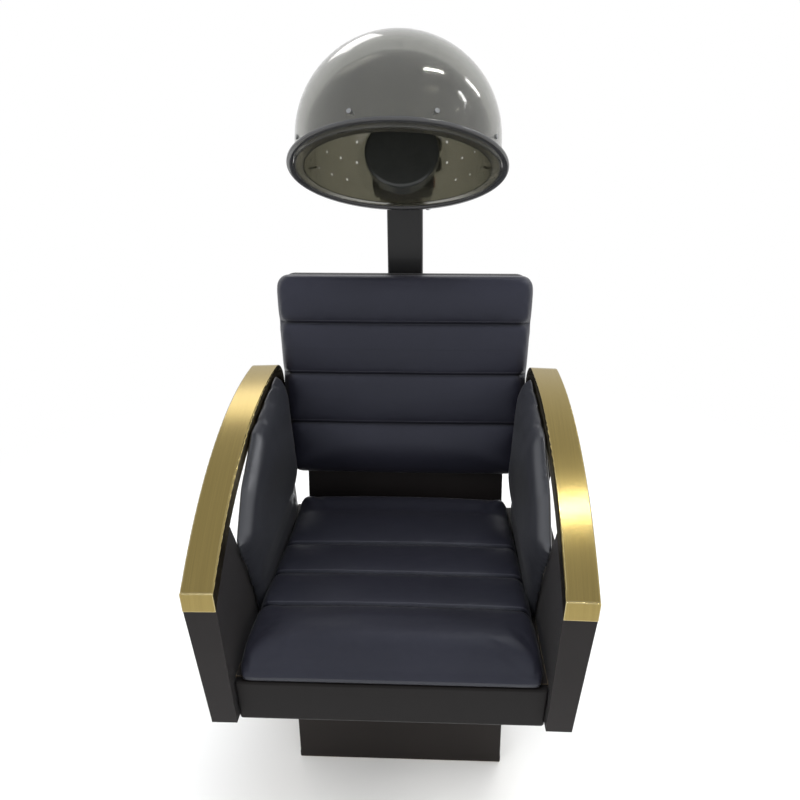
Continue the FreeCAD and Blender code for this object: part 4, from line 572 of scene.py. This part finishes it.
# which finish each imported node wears

nodeFinishes = {
    "glidePlastic": ("floor_glides",),
    "seatBoard": ("base_bottom_board", "base_front_panel", "base_rear_panel", "base_side_panels"),
    "stainedBoard": ("base_top_board", "seat_cross_rails", "seat_side_rails", "seat_bearers",
                     "seat_deck", "backrest_board"),
    "baseVinyl": ("base_cover",),
    "apronVinylShaded": ("front_apron",),
    "seatVinyl": ("seat_cushion",),
    "backPadVinylLit": ("backrest_cushion",),
    "blackVinyl": ("arm_panel_left", "arm_panel_right", "back_riser"),
    "padVinylLit": ("arm_side_pad_left", "arm_side_pad_right"),
    "backVinyl": ("backrest_rear_cover",),
    "dustCloth": ("seat_dust_cover",),
    "brushedGold": ("armrest_strap_left", "armrest_strap_right", "armrest_caps"),
    "charcoalPaint": ("post_sleeve", "mast", "mast_head", "post_brackets", "post_spacer",
                      "hinge_bracket", "seat_mount_plate", "clamp_boss"),
    "zincSteel": ("frame_bolts", "hood_screws", "hinge_pin"),
    "leverChrome": ("tilt_lever",),
    "motorSteel": ("fan_motor", "motor_bracket", "heat_limiter", "dial_switches", "fan_wheel"),
    "heaterWire": ("heater_coils",),
    "micaSheet": ("heater_frame",),
    "nylonWasher": ("friction_washers", "sleeve_liners", "cable_gland"),
    "rimPlastic": ("rim_ring",),
    "glossBlack": ("clamp_knob",),
    "fanPlastic": ("fan_cover",),
    "mattBlack": ("rear_housing", "intake_grilles", "timer_dial", "heat_dial", "switch_frame"),
    "rockerRed": ("rocker_switch",),
    "lampLens": ("pilot_lamp",),
    "smokedShell": ("hood_shell",),
    "smokedBowl": ("inner_bowl",),
}


def dressNode(node, material):
    if not node.material_slots:
        node.data.materials.append(material)
    for place in node.material_slots:
        place.material = material


for name, nodes in nodeFinishes.items():
    for node in nodes:
        dressNode(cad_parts[node], finish[name])
print("packed nodes are dressed")


# ways of working that several pieces share

def clamped(value):
    return max(0.0, min(1.0, value))


def ramp(value, start, end):
    # 0 at the start, 1 at the end and beyond
    return clamped((value - start) / (end - start))


def eased(share):
    return share * share * (3 - 2 * share)


def deselect():
    if bpy.context.object and bpy.context.object.mode != "OBJECT":
        bpy.ops.object.mode_set(mode="OBJECT")
    bpy.ops.object.select_all(action="DESELECT")


def take(piece):
    deselect()
    piece.select_set(True)
    bpy.context.view_layer.objects.active = piece


def press(piece, kind, **settings):
    # adds a modifier and applies it at once
    take(piece)
    modifier = piece.modifiers.new(kind.lower(), kind)
    for name, value in settings.items():
        setattr(modifier, name, value)
    bpy.ops.object.modifier_apply(modifier=modifier.name)


def bevel(piece, width, segments, angle, **settings):
    press(piece, "BEVEL", width=width, segments=segments, limit_method="ANGLE",
          angle_limit=math.radians(angle), **settings)


def editAll(piece):
    take(piece)
    bpy.ops.object.mode_set(mode="EDIT")
    bpy.ops.mesh.select_all(action="SELECT")


def endEdit():
    bpy.ops.object.mode_set(mode="OBJECT")


def cut(place, way):
    # one more row of edges where a plane meets the piece
    bpy.ops.mesh.select_all(action="SELECT")
    bpy.ops.mesh.bisect(plane_co=place, plane_no=way)


def dropFaces(piece, chosen):
    bpy.context.tool_settings.mesh_select_mode = (False, False, True)
    bpy.ops.mesh.select_all(action="DESELECT")
    shape = bmesh.from_edit_mesh(piece.data)
    for face in shape.faces:
        face.select_set(chosen(face))
    bmesh.update_edit_mesh(piece.data)
    bpy.ops.mesh.delete(type="FACE")


def settle():
    bpy.ops.object.transform_apply(location=True, rotation=True, scale=True)


joining = {"near": 0.00002, "flat": 0.6}       # metres between points, degrees between faces


def copyNode(node, name):
    # a node's mesh under a new name, its loose triangles joined and its flat faces made whole
    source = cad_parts[node]
    piece = bpy.data.objects.new(name, source.data.copy())
    scene.collection.objects.link(piece)
    piece.data.materials.clear()
    editAll(piece)
    bpy.ops.mesh.customdata_custom_splitnormals_clear()
    bpy.ops.mesh.remove_doubles(threshold=joining["near"])
    bpy.ops.mesh.dissolve_limited(angle_limit=math.radians(joining["flat"]))
    bpy.ops.mesh.normals_make_consistent(inside=False)
    endEdit()
    return piece


def dress(piece, material, body, slotName, *nodes):
    piece.data.materials.clear()
    piece.data.materials.append(finish[material])
    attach(piece, body)
    if nodes:
        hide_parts(*nodes)


def smooth(piece, angle):
    take(piece)
    bpy.ops.object.shade_smooth_by_angle(angle=math.radians(angle))


def wholeSmooth(piece):
    take(piece)
    bpy.ops.object.shade_smooth()


def upholster(node, name, edge, material):
    # a board with thin foam under its vinyl: flat faces, soft edges
    piece = copyNode(node, name)
    bevel(piece, edge, 4, 28, miter_outer="MITER_ARC")
    smooth(piece, 40)
    press(piece, "WEIGHTED_NORMAL", keep_sharp=True, weight=70)
    dress(piece, material, "chair", "black_leather", node)


airRecipe = {"quality": 3, "mass": 0.3, "bending": 0.5, "shear": 0.4, "frames": 20, "quickShare": 0.6}


def swell(piece, recipe, held):
    # blows a slightly smaller form up under its cover; held(point, normal) says what stays put
    press(piece, "REMESH", mode="VOXEL", voxel_size=recipe["voxel"], use_smooth_shade=True)
    mesh = piece.data
    start = [vertex.co.copy() for vertex in mesh.vertices]
    fixed = [vertex.index for vertex in mesh.vertices if held(vertex.co, vertex.normal)]
    group = piece.vertex_groups.new(name="held")
    group.add(fixed, 1.0, "REPLACE")
    take(piece)
    cloth = piece.modifiers.new("air", "CLOTH")
    settings = cloth.settings
    settings.quality = airRecipe["quality"]
    settings.mass = airRecipe["mass"]
    settings.tension_stiffness = recipe["stiffness"]
    settings.compression_stiffness = recipe["stiffness"]
    settings.shear_stiffness = recipe["stiffness"] * airRecipe["shear"]
    settings.bending_stiffness = airRecipe["bending"]
    settings.use_pressure = True
    settings.uniform_pressure_force = recipe["pressure"]
    settings.effector_weights.gravity = 0
    settings.vertex_group_mass = "held"
    cloth.collision_settings.use_collision = False
    cloth.point_cache.frame_start = 1
    cloth.point_cache.frame_end = airRecipe["frames"]
    for step in range(1, airRecipe["frames"] + 1):
        scene.frame_set(step)
    bpy.ops.object.modifier_apply(modifier="air")
    scene.frame_set(1)
    most = recipe["cap"]
    moved = 0.0
    for vertex, before in zip(mesh.vertices, start):
        move = vertex.co - before
        moved = max(moved, move.length)
        if move.length > most:
            vertex.co = before + move * (most / move.length)
    piece.vertex_groups.clear()
    print("  blown up:", len(start), "points, moved", round(moved * 1000, 1), "mm before the cap")


def widened(piece, node, more):
    # a cover blown up draws its sides in, so the width is brought back to the solid's own
    low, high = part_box(node)
    across = [vertex.co.x for vertex in piece.data.vertices]
    resized(piece, ((high.x - low.x + more) / (max(across) - min(across)), 1.0, 1.0), (0, 0, 0))


def resized(piece, factors, centre):
    editAll(piece)
    bpy.ops.transform.resize(value=factors, center_override=centre)
    endEdit()


sewing = {
    "cuts": (-0.0022, -0.0007, 0.0007, 0.0022),     # extra rows of points beside each seam
    "told": 0.03,                                   # the finish hears of seams up to this far off
    "side": 0.028, "sideMore": 0.8,                 # near the sides the seam is deeper and wider
    "puckers": 75.0, "puckerReach": 0.016,
    "waves": 9.0, "waveShift": (7.1, 3.3, 1.7),
    "drawSide": 0.02, "drawReach": 0.009,
}


def shown(recipe, rise, turn):
    # seams show on the upper part of a cushion, where it faces the sitter
    steep, start = recipe["sewnRise"]
    steepTurn, startTurn = recipe["sewnTurn"]
    return clamped(rise * steep - start) * clamped(turn * steepTurn + startTurn)


def sew(piece, lines, along, showing, recipe):
    # draws the cover in along planes: along(point) is a distance, lines are the seams' values of it
    editAll(piece)
    bpy.context.tool_settings.mesh_select_mode = (True, False, False)
    for plane in lines:
        for shift in sewing["cuts"]:
            cut(plane["at"] + plane["up"] * shift, plane["up"])
    endEdit()
    mesh = piece.data
    away = mesh.attributes.new("seamAway", "FLOAT", "POINT")
    sewn = mesh.attributes.new("sewn", "FLOAT", "POINT")
    moves = []
    halfWidth = max(abs(vertex.co.x) for vertex in mesh.vertices)
    for vertex in mesh.vertices:
        here = along(vertex.co)
        signed = min((here - plane["value"] for plane in lines), key=abs)
        share = showing(vertex.co, vertex.normal)
        away.data[vertex.index].value = max(-sewing["told"], min(sewing["told"], signed))
        sewn.data[vertex.index].value = share
        near = abs(signed)
        side = max(0.0, 1 - (halfWidth - abs(vertex.co.x)) / sewing["side"])
        width = recipe["width"] * (1 + sewing["sideMore"] * side)
        dip = recipe["depth"] * (1 + side) * math.exp(-near / width)
        pucker = noise.noise(vertex.co * sewing["puckers"]) * recipe["pucker"]
        pucker *= math.exp(-near / sewing["puckerReach"])
        slack = noise.noise(vertex.co * sewing["waves"] + Vector(sewing["waveShift"])) * recipe["slack"]
        moves.append((-dip + pucker + slack) * share)
    normals = [vertex.normal.copy() for vertex in mesh.vertices]
    for vertex, move, normal in zip(mesh.vertices, moves, normals):
        near = abs(away.data[vertex.index].value)
        side = max(0.0, 1 - (halfWidth - abs(vertex.co.x)) / sewing["drawSide"])
        side *= sewn.data[vertex.index].value
        drawn = recipe["draw"] * side * math.exp(-near / sewing["drawReach"])
        vertex.co = vertex.co + normal * move
        vertex.co.x -= math.copysign(drawn, vertex.co.x)


# seat cushion: three sewn lines across, a thick front roll

seatRecipe = {
    "voxel": 0.008, "pressure": 6.0, "stiffness": 8.0, "cap": 0.0085,
    "lower": 0.94, "more": 0.0,
    "depth": 0.0046, "width": 0.0036, "pucker": 0.0008, "slack": 0.0012, "draw": 0.004,
    "seams": (-0.298, -0.201, -0.104), "grip": 0.0055,
    "still": {"under": -0.2, "side": 0.8, "end": 0.7, "face": 0.3},
    "sewnRise": (2.4, 0.6), "sewnTurn": (2, 0.6),
    "topRun": (0.012, 0.042),                       # heights over which the shaping below sets in
    "heel": 0.017, "heelRun": (0.0, 0.055),         # rise at the rear, and where it sets in
    "roll": 0.075, "drop": 0.022,                   # depth of the front roll, and its fall
    "corner": 0.006, "cornerRun": (0.17, 0.22), "cornerFrom": 0.03, "cornerDeep": 0.041,
}


def makeSeatCushion(recipe):
    low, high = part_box("seat_cushion")
    piece = copyNode("seat_cushion", "seatCushion")
    seams, still = recipe["seams"], recipe["still"]
    resized(piece, (1.0, 1.0, recipe["lower"]), (0, low.y, low.z))

    def held(point, normal):
        if normal.z < still["under"] or abs(normal.x) > still["side"] or normal.y > still["end"]:
            return True
        return normal.z > still["face"] and min(abs(point.y - seam) for seam in seams) < recipe["grip"]

    swell(piece, recipe, held)
    press(piece, "SUBSURF", levels=1, render_levels=1)
    widened(piece, "seat_cushion", recipe["more"])
    for vertex in piece.data.vertices:      # a full heel against the riser, a front that rolls down
        rear = ramp(vertex.co.y, *recipe["heelRun"])
        top = ramp(vertex.co.z - low.z, *recipe["topRun"])
        vertex.co.z += recipe["heel"] * eased(rear) * top
        front = max(0.0, 1 - (vertex.co.y - low.y) / recipe["roll"])
        vertex.co.z -= recipe["drop"] * front * front * top
        corner = ramp(abs(vertex.co.x), *recipe["cornerRun"])
        corner *= max(0.0, (vertex.co.y - recipe["cornerFrom"]) / recipe["cornerDeep"])
        vertex.co.x += math.copysign(recipe["corner"] * min(1.0, corner) * top, vertex.co.x)
    lines = [{"at": Vector((0, seam, 0)), "up": Vector((0, 1, 0)), "value": seam} for seam in seams]

    def showing(point, normal):
        rise = (point.z - low.z) / (high.z - low.z)
        return shown(recipe, rise, normal.z)

    sew(piece, lines, lambda point: point.y, showing, recipe)
    wholeSmooth(piece)
    dress(piece, "seatVinyl", "chair", "black_leather", "seat_cushion")
    print("seat cushion:", len(piece.data.polygons), "faces")


# back cushion: the same, on its slope

backRecipe = {
    "voxel": 0.008, "pressure": 6.0, "stiffness": 8.0, "cap": 0.0075,
    "thick": 0.048, "thinner": 0.94, "more": 0.002,
    "depth": 0.0042, "width": 0.0034, "pucker": 0.0007, "slack": 0.0010, "draw": 0.003,
    "foot": (0.0, 0.066, 0.516), "lean": 79.74, "seams": (0.103, 0.206, 0.309), "grip": 0.0055,
    "still": {"under": -0.2, "side": 0.8, "end": 0.85, "face": 0.3},
    "sewnRise": (2.2, 0.5), "sewnTurn": (2, 0.6),
    "foam": 0.007, "foamRun": 0.06,                 # the lowest row hangs this much lower
    "tall": 0.412, "top": 0.006, "topRun": 0.05,    # the highest row stands this much higher
}


def makeBackCushion(recipe):
    piece = copyNode("backrest_cushion", "backrestCushion")
    foot = Vector(recipe["foot"])
    lean = math.radians(recipe["lean"])
    up = Vector((0, math.cos(lean), math.sin(lean)))
    front = Vector((0, -math.sin(lean), math.cos(lean)))
    seams, still = recipe["seams"], recipe["still"]
    thick = recipe["thick"]
    for vertex in piece.data.vertices:      # thinner towards the board, along the slope's own normal
        out = (vertex.co - foot).dot(front) + thick
        vertex.co = vertex.co - front * out * (1 - recipe["thinner"])

    def held(point, normal):
        turn = normal.dot(front)
        if turn < still["under"] or abs(normal.x) > still["side"] or abs(normal.dot(up)) > still["end"]:
            return True
        along = (point - foot).dot(up)
        return turn > still["face"] and min(abs(along - seam) for seam in seams) < recipe["grip"]

    swell(piece, recipe, held)
    press(piece, "SUBSURF", levels=1, render_levels=1)
    widened(piece, "backrest_cushion", recipe["more"])
    for vertex in piece.data.vertices:
        height = (vertex.co - foot).dot(up)
        below = max(0.0, 1 - max(0.0, height) / recipe["foamRun"])
        above = max(0.0, 1 - max(0.0, recipe["tall"] - height) / recipe["topRun"])
        vertex.co = vertex.co + up * (recipe["top"] * above * above - recipe["foam"] * below * below)
    lines = [{"at": foot + up * seam, "up": up, "value": seam} for seam in seams]

    def showing(point, normal):
        out = ((point - foot).dot(front) + thick) / thick
        return shown(recipe, out, normal.dot(front))

    sew(piece, lines, lambda point: (point - foot).dot(up), showing, recipe)
    wholeSmooth(piece)
    dress(piece, "backPadVinylLit", "chair", "black_leather", "backrest_cushion")
    print("back cushion:", len(piece.data.polygons), "faces")


# padded wings inside the arms

wingRecipe = {
    "voxel": 0.0055, "dimple": 0.03,                # hollows this far inside the outline don't count
    "edgeFacing": 0.45, "rearFacing": 0.6,
    "crown": 0.019, "reach": 0.080, "rearLift": 0.006, "lowCrown": 0.2,
    "foot": 0.478, "footRun": 0.06,                 # the seat's height, and how soon the crown sets in
    "folds": 0.0016, "foldSize": (6.0, 14.0),
    "fuller": 0.006, "free": (0.60, 0.55),          # the front edge, up to where the strap is close
    "thinRear": 0.011, "rearRun": (-0.03, 0.05),    # beside the riser the pad is thinner
    "rearLow": (0.47, 0.49), "rearHigh": (0.545, 0.525),
    "rounds": 40,
}


def wingOutline(mesh, recipe):
    # the points round the pad's edge, each with whether it lies at the rear
    rim = [(vertex.co.copy(), vertex.normal.y > recipe["rearFacing"]) for vertex in mesh.vertices
           if abs(vertex.normal.x) < recipe["edgeFacing"]]
    centre = sum((place for place, behind in rim), Vector()) / len(rim)

    def polar(place):
        y, z = place.y - centre.y, place.z - centre.z
        return round(math.atan2(z, y) * 20), math.hypot(y, z)

    farthest = {}
    for place, behind in rim:
        way, out = polar(place)
        farthest[way] = max(farthest.get(way, 0.0), out)
    kept = []
    for place, behind in rim:
        way, out = polar(place)
        if out > farthest[way] - recipe["dimple"]:
            kept.append((place, behind))
    return kept


def makeWing(side, recipe):
    outward = 1 if side == "right" else -1
    piece = copyNode("arm_side_pad_" + side, "wingPad" + side.capitalize())
    press(piece, "REMESH", mode="VOXEL", voxel_size=recipe["voxel"], use_smooth_shade=True)
    press(piece, "SMOOTH", factor=0.5, iterations=4)
    press(piece, "SUBSURF", levels=1, render_levels=1)
    mesh = piece.data
    outline = wingOutline(mesh, recipe)
    edges = {}
    for rear in (False, True):
        places = [place for place, behind in outline if behind == rear]
        edges[rear] = kdtree.KDTree(len(places))
        for index, place in enumerate(places):
            edges[rear].insert((0, place.y, place.z), index)
        edges[rear].balance()
    moves = []
    foldAlong, foldUp = recipe["foldSize"]
    for vertex in mesh.vertices:
        place, normal = vertex.co, vertex.normal
        inner = max(0.0, -normal.x * outward)
        flat = (0, place.y, place.z)
        away = min(edges[False].find(flat)[2], edges[True].find(flat)[2] + recipe["rearLift"])
        share = min(1.0, away / recipe["reach"])
        above = clamped((place.z - recipe["foot"]) / recipe["footRun"])
        crown = recipe["crown"] * math.sqrt(1 - (1 - share) ** 2)
        crown *= recipe["lowCrown"] + (1 - recipe["lowCrown"]) * above
        fold = noise.noise(Vector((place.y * foldAlong, place.z * foldUp, 2.0))) * recipe["folds"] * share
        move = Vector((-outward * (crown + fold) * inner, 0, 0))
        front = clamped(-normal.y * 1.6)
        fuller = recipe["fuller"] * eased(front) * above * ramp(place.z, *recipe["free"])
        move += Vector((0, normal.y, normal.z)) * fuller
        behind = ramp(place.y, *recipe["rearRun"])
        behind *= ramp(place.z, *recipe["rearLow"]) * ramp(place.z, *recipe["rearHigh"])
        move.x += outward * recipe["thinRear"] * behind * inner
        moves.append(move)
    for vertex, move in zip(mesh.vertices, moves):
        vertex.co = vertex.co + move
    swollen = piece.vertex_groups.new(name="swollen")
    for vertex in mesh.vertices:
        share = clamped(-vertex.normal.x * outward * 1.6 - 0.3)
        if share > 0:
            swollen.add([vertex.index], share, "REPLACE")
    press(piece, "SMOOTH", factor=0.5, iterations=recipe["rounds"], vertex_group="swollen")
    piece.vertex_groups.clear()
    wholeSmooth(piece)
    dress(piece, "padVinylLit", "chair", "black_leather", "arm_side_pad_" + side)
    print("wing pad", side + ":", len(mesh.polygons), "faces")


# boards under thin foam and vinyl

boardRecipe = {"armEdge": 0.0045, "apronEdge": 0.005, "riserEdge": 0.0045}


def makeUpholsteredBoards(recipe):
    for side in ("left", "right"):
        upholster("arm_panel_" + side, "armPanel" + side.capitalize(), recipe["armEdge"], "blackVinyl")
    upholster("front_apron", "frontApron", recipe["apronEdge"], "apronVinylShaded")
    upholster("back_riser", "backRiser", recipe["riserEdge"], "blackVinyl")
    print("upholstered boards are made")


# the backrest's rear: vinyl that turns forward round the board

rearRecipe = {"stands": 0.0014, "edge": 0.0035}


def makeRearCover(recipe):
    piece = copyNode("backrest_board", "backrestRearCover")
    press(piece, "DISPLACE", strength=recipe["stands"], mid_level=0)
    bevel(piece, recipe["edge"], 3, 40)
    smooth(piece, 40)
    press(piece, "WEIGHTED_NORMAL", keep_sharp=True, weight=70)
    dress(piece, "backVinyl", "chair", "leather_back", "backrest_rear_cover")
    print("rear cover is made")


# the pedestal's cover: a glued vinyl skin with a turned hem and a lapped joint at the rear

coverRecipe = {
    "corner": 0.0024, "skin": 0.0011,
    "hem": 0.012, "hemLine": 1.12, "hemReach": 1.05, "hemProud": 0.0007,
    "lap": 0.03, "lapLine": 0.94, "lapReach": 0.97, "lapEnd": 0.15, "lapProud": 0.0006,
}


def makeBaseCover(recipe):
    low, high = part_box("base_cover")
    middle = (low + high) / 2
    size = high - low
    deselect()
    bpy.ops.mesh.primitive_cube_add(size=1, location=middle, scale=size)
    piece = bpy.context.object
    piece.name = "baseCover"
    settle()
    editAll(piece)
    dropFaces(piece, lambda face: abs(face.normal.z) > 0.9)
    bpy.context.tool_settings.mesh_select_mode = (False, True, False)
    bpy.ops.mesh.select_all(action="DESELECT")
    shape = bmesh.from_edit_mesh(piece.data)
    for edge in shape.edges:
        run = edge.verts[0].co - edge.verts[1].co
        edge.select_set(abs(run.z) > size.z * 0.9)
    bmesh.update_edit_mesh(piece.data)
    bpy.ops.mesh.bevel(offset=recipe["corner"], segments=4, affect="EDGES")
    # lines round the cover where the hem and the top fold are sewn
    hem, lap = recipe["hem"], recipe["lap"]
    for height in (low.z + hem, low.z + hem * recipe["hemLine"], high.z - hem):
        cut((0, 0, height), (0, 0, 1))
    for across in (-lap, -lap * recipe["lapLine"]):
        cut((across, 0, 0), (1, 0, 0))
    endEdit()
    for vertex in piece.data.vertices:             # the lap's edge and the hem stand a little proud
        flat = Vector((vertex.co.x, vertex.co.y, 0)).normalized()
        if vertex.co.z < low.z + hem * recipe["hemReach"]:
            vertex.co += flat * recipe["hemProud"]
        if vertex.co.y > high.y - 0.001 and -lap * recipe["lapReach"] < vertex.co.x < recipe["lapEnd"]:
            vertex.co.y += recipe["lapProud"]
    press(piece, "SOLIDIFY", thickness=recipe["skin"], offset=-1)
    smooth(piece, 30)
    dress(piece, "baseVinyl", "chair", "black_leather", "base_cover")
    print("pedestal cover is made")


# the dust cloth under the seat, stapled all round and round the mounting plate

clothRecipe = {
    "sag": 0.004, "sagReach": 0.03, "waves": (0.7, 0.6, 9.0), "thickness": 0.0007, "step": 22,
    "gap": 0.0025,                  # round the mounting plate
    "narrow": 0.932,                # the arms' toe: the rear is narrower
}


def makeDustCover(recipe):
    low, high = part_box("seat_dust_cover")
    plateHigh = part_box("seat_mount_plate")[1]
    gap = recipe["gap"]
    least, swing, waves = recipe["waves"]
    middle = (low + high) / 2
    size = high - low
    deselect()
    bpy.ops.mesh.primitive_grid_add(x_subdivisions=recipe["step"], y_subdivisions=recipe["step"],
                                    size=1, location=(0, middle.y, high.z - 0.0004))
    piece = bpy.context.object
    piece.name = "seatDustCover"
    piece.scale = (size.x - 0.001, size.y - 0.001, 1)
    settle()
    for vertex in piece.data.vertices:
        share = (vertex.co.y - low.y) / size.y
        vertex.co.x *= 1 - (1 - recipe["narrow"]) * share
    right, back = plateHigh.x + gap, plateHigh.y + gap

    def overPlate(face):
        centre = face.calc_center_median()
        return abs(centre.x) < right and abs(centre.y) < back

    editAll(piece)
    for side in (-1, 1):
        cut((side * right, 0, 0), (1, 0, 0))
        cut((0, side * back, 0), (0, 1, 0))
    dropFaces(piece, overPlate)
    endEdit()
    for vertex in piece.data.vertices:
        x, y = vertex.co.x, vertex.co.y
        edge = min(abs(abs(x) - size.x / 2), abs(y - low.y), abs(high.y - y))
        hole = max(abs(x) - plateHigh.x, abs(y) - plateHigh.y)
        near = max(0.0, min(edge, hole))
        wave = least + swing * noise.noise(vertex.co * waves)
        vertex.co.z -= recipe["sag"] * (1 - math.exp(-near / recipe["sagReach"])) * wave
    press(piece, "SOLIDIFY", thickness=recipe["thickness"], offset=0)
    wholeSmooth(piece)
    dress(piece, "dustCloth", "chair", "dust_cloth", "seat_dust_cover")
    print("dust cloth is made")


# the hood's rim: a thin rounded lip round the shell, a little higher at the front

rimRecipe = {
    "centre": (0.0, -0.02984, 1.157), "raised": 34.5, "oblique": 1.55,
    "inner": 0.1733, "outer": 0.185, "tall": 0.007, "middle": 0.0045, "round": 0.0026,
}


def makeRim(recipe):
    raised = math.radians(recipe["raised"])
    up = Vector((0, math.sin(raised), math.cos(raised)))
    deselect()
    bpy.ops.mesh.primitive_cylinder_add(vertices=144, radius=recipe["outer"], depth=recipe["tall"],
                                        end_fill_type="NOTHING")
    piece = bpy.context.object
    piece.name = "rimRing"
    press(piece, "SOLIDIFY", thickness=recipe["outer"] - recipe["inner"], offset=-1)
    bevel(piece, recipe["round"], 4, 40)
    editAll(piece)
    bpy.ops.mesh.normals_make_consistent(inside=False)
    endEdit()
    piece.rotation_euler = (-raised - math.radians(recipe["oblique"]), 0, 0)
    piece.location = Vector(recipe["centre"]) + up * recipe["middle"]
    settle()
    smooth(piece, 40)
    dress(piece, "rimPlastic", "hood", "gloss_black", "rim_ring")
    print("rim is made:", len(piece.data.polygons), "faces")


makeRearCover(rearRecipe)
makeBaseCover(coverRecipe)
makeDustCover(clothRecipe)
makeSeatCushion(seatRecipe)
makeBackCushion(backRecipe)
makeWing("left", wingRecipe)
makeWing("right", wingRecipe)
makeUpholsteredBoards(boardRecipe)
makeRim(rimRecipe)
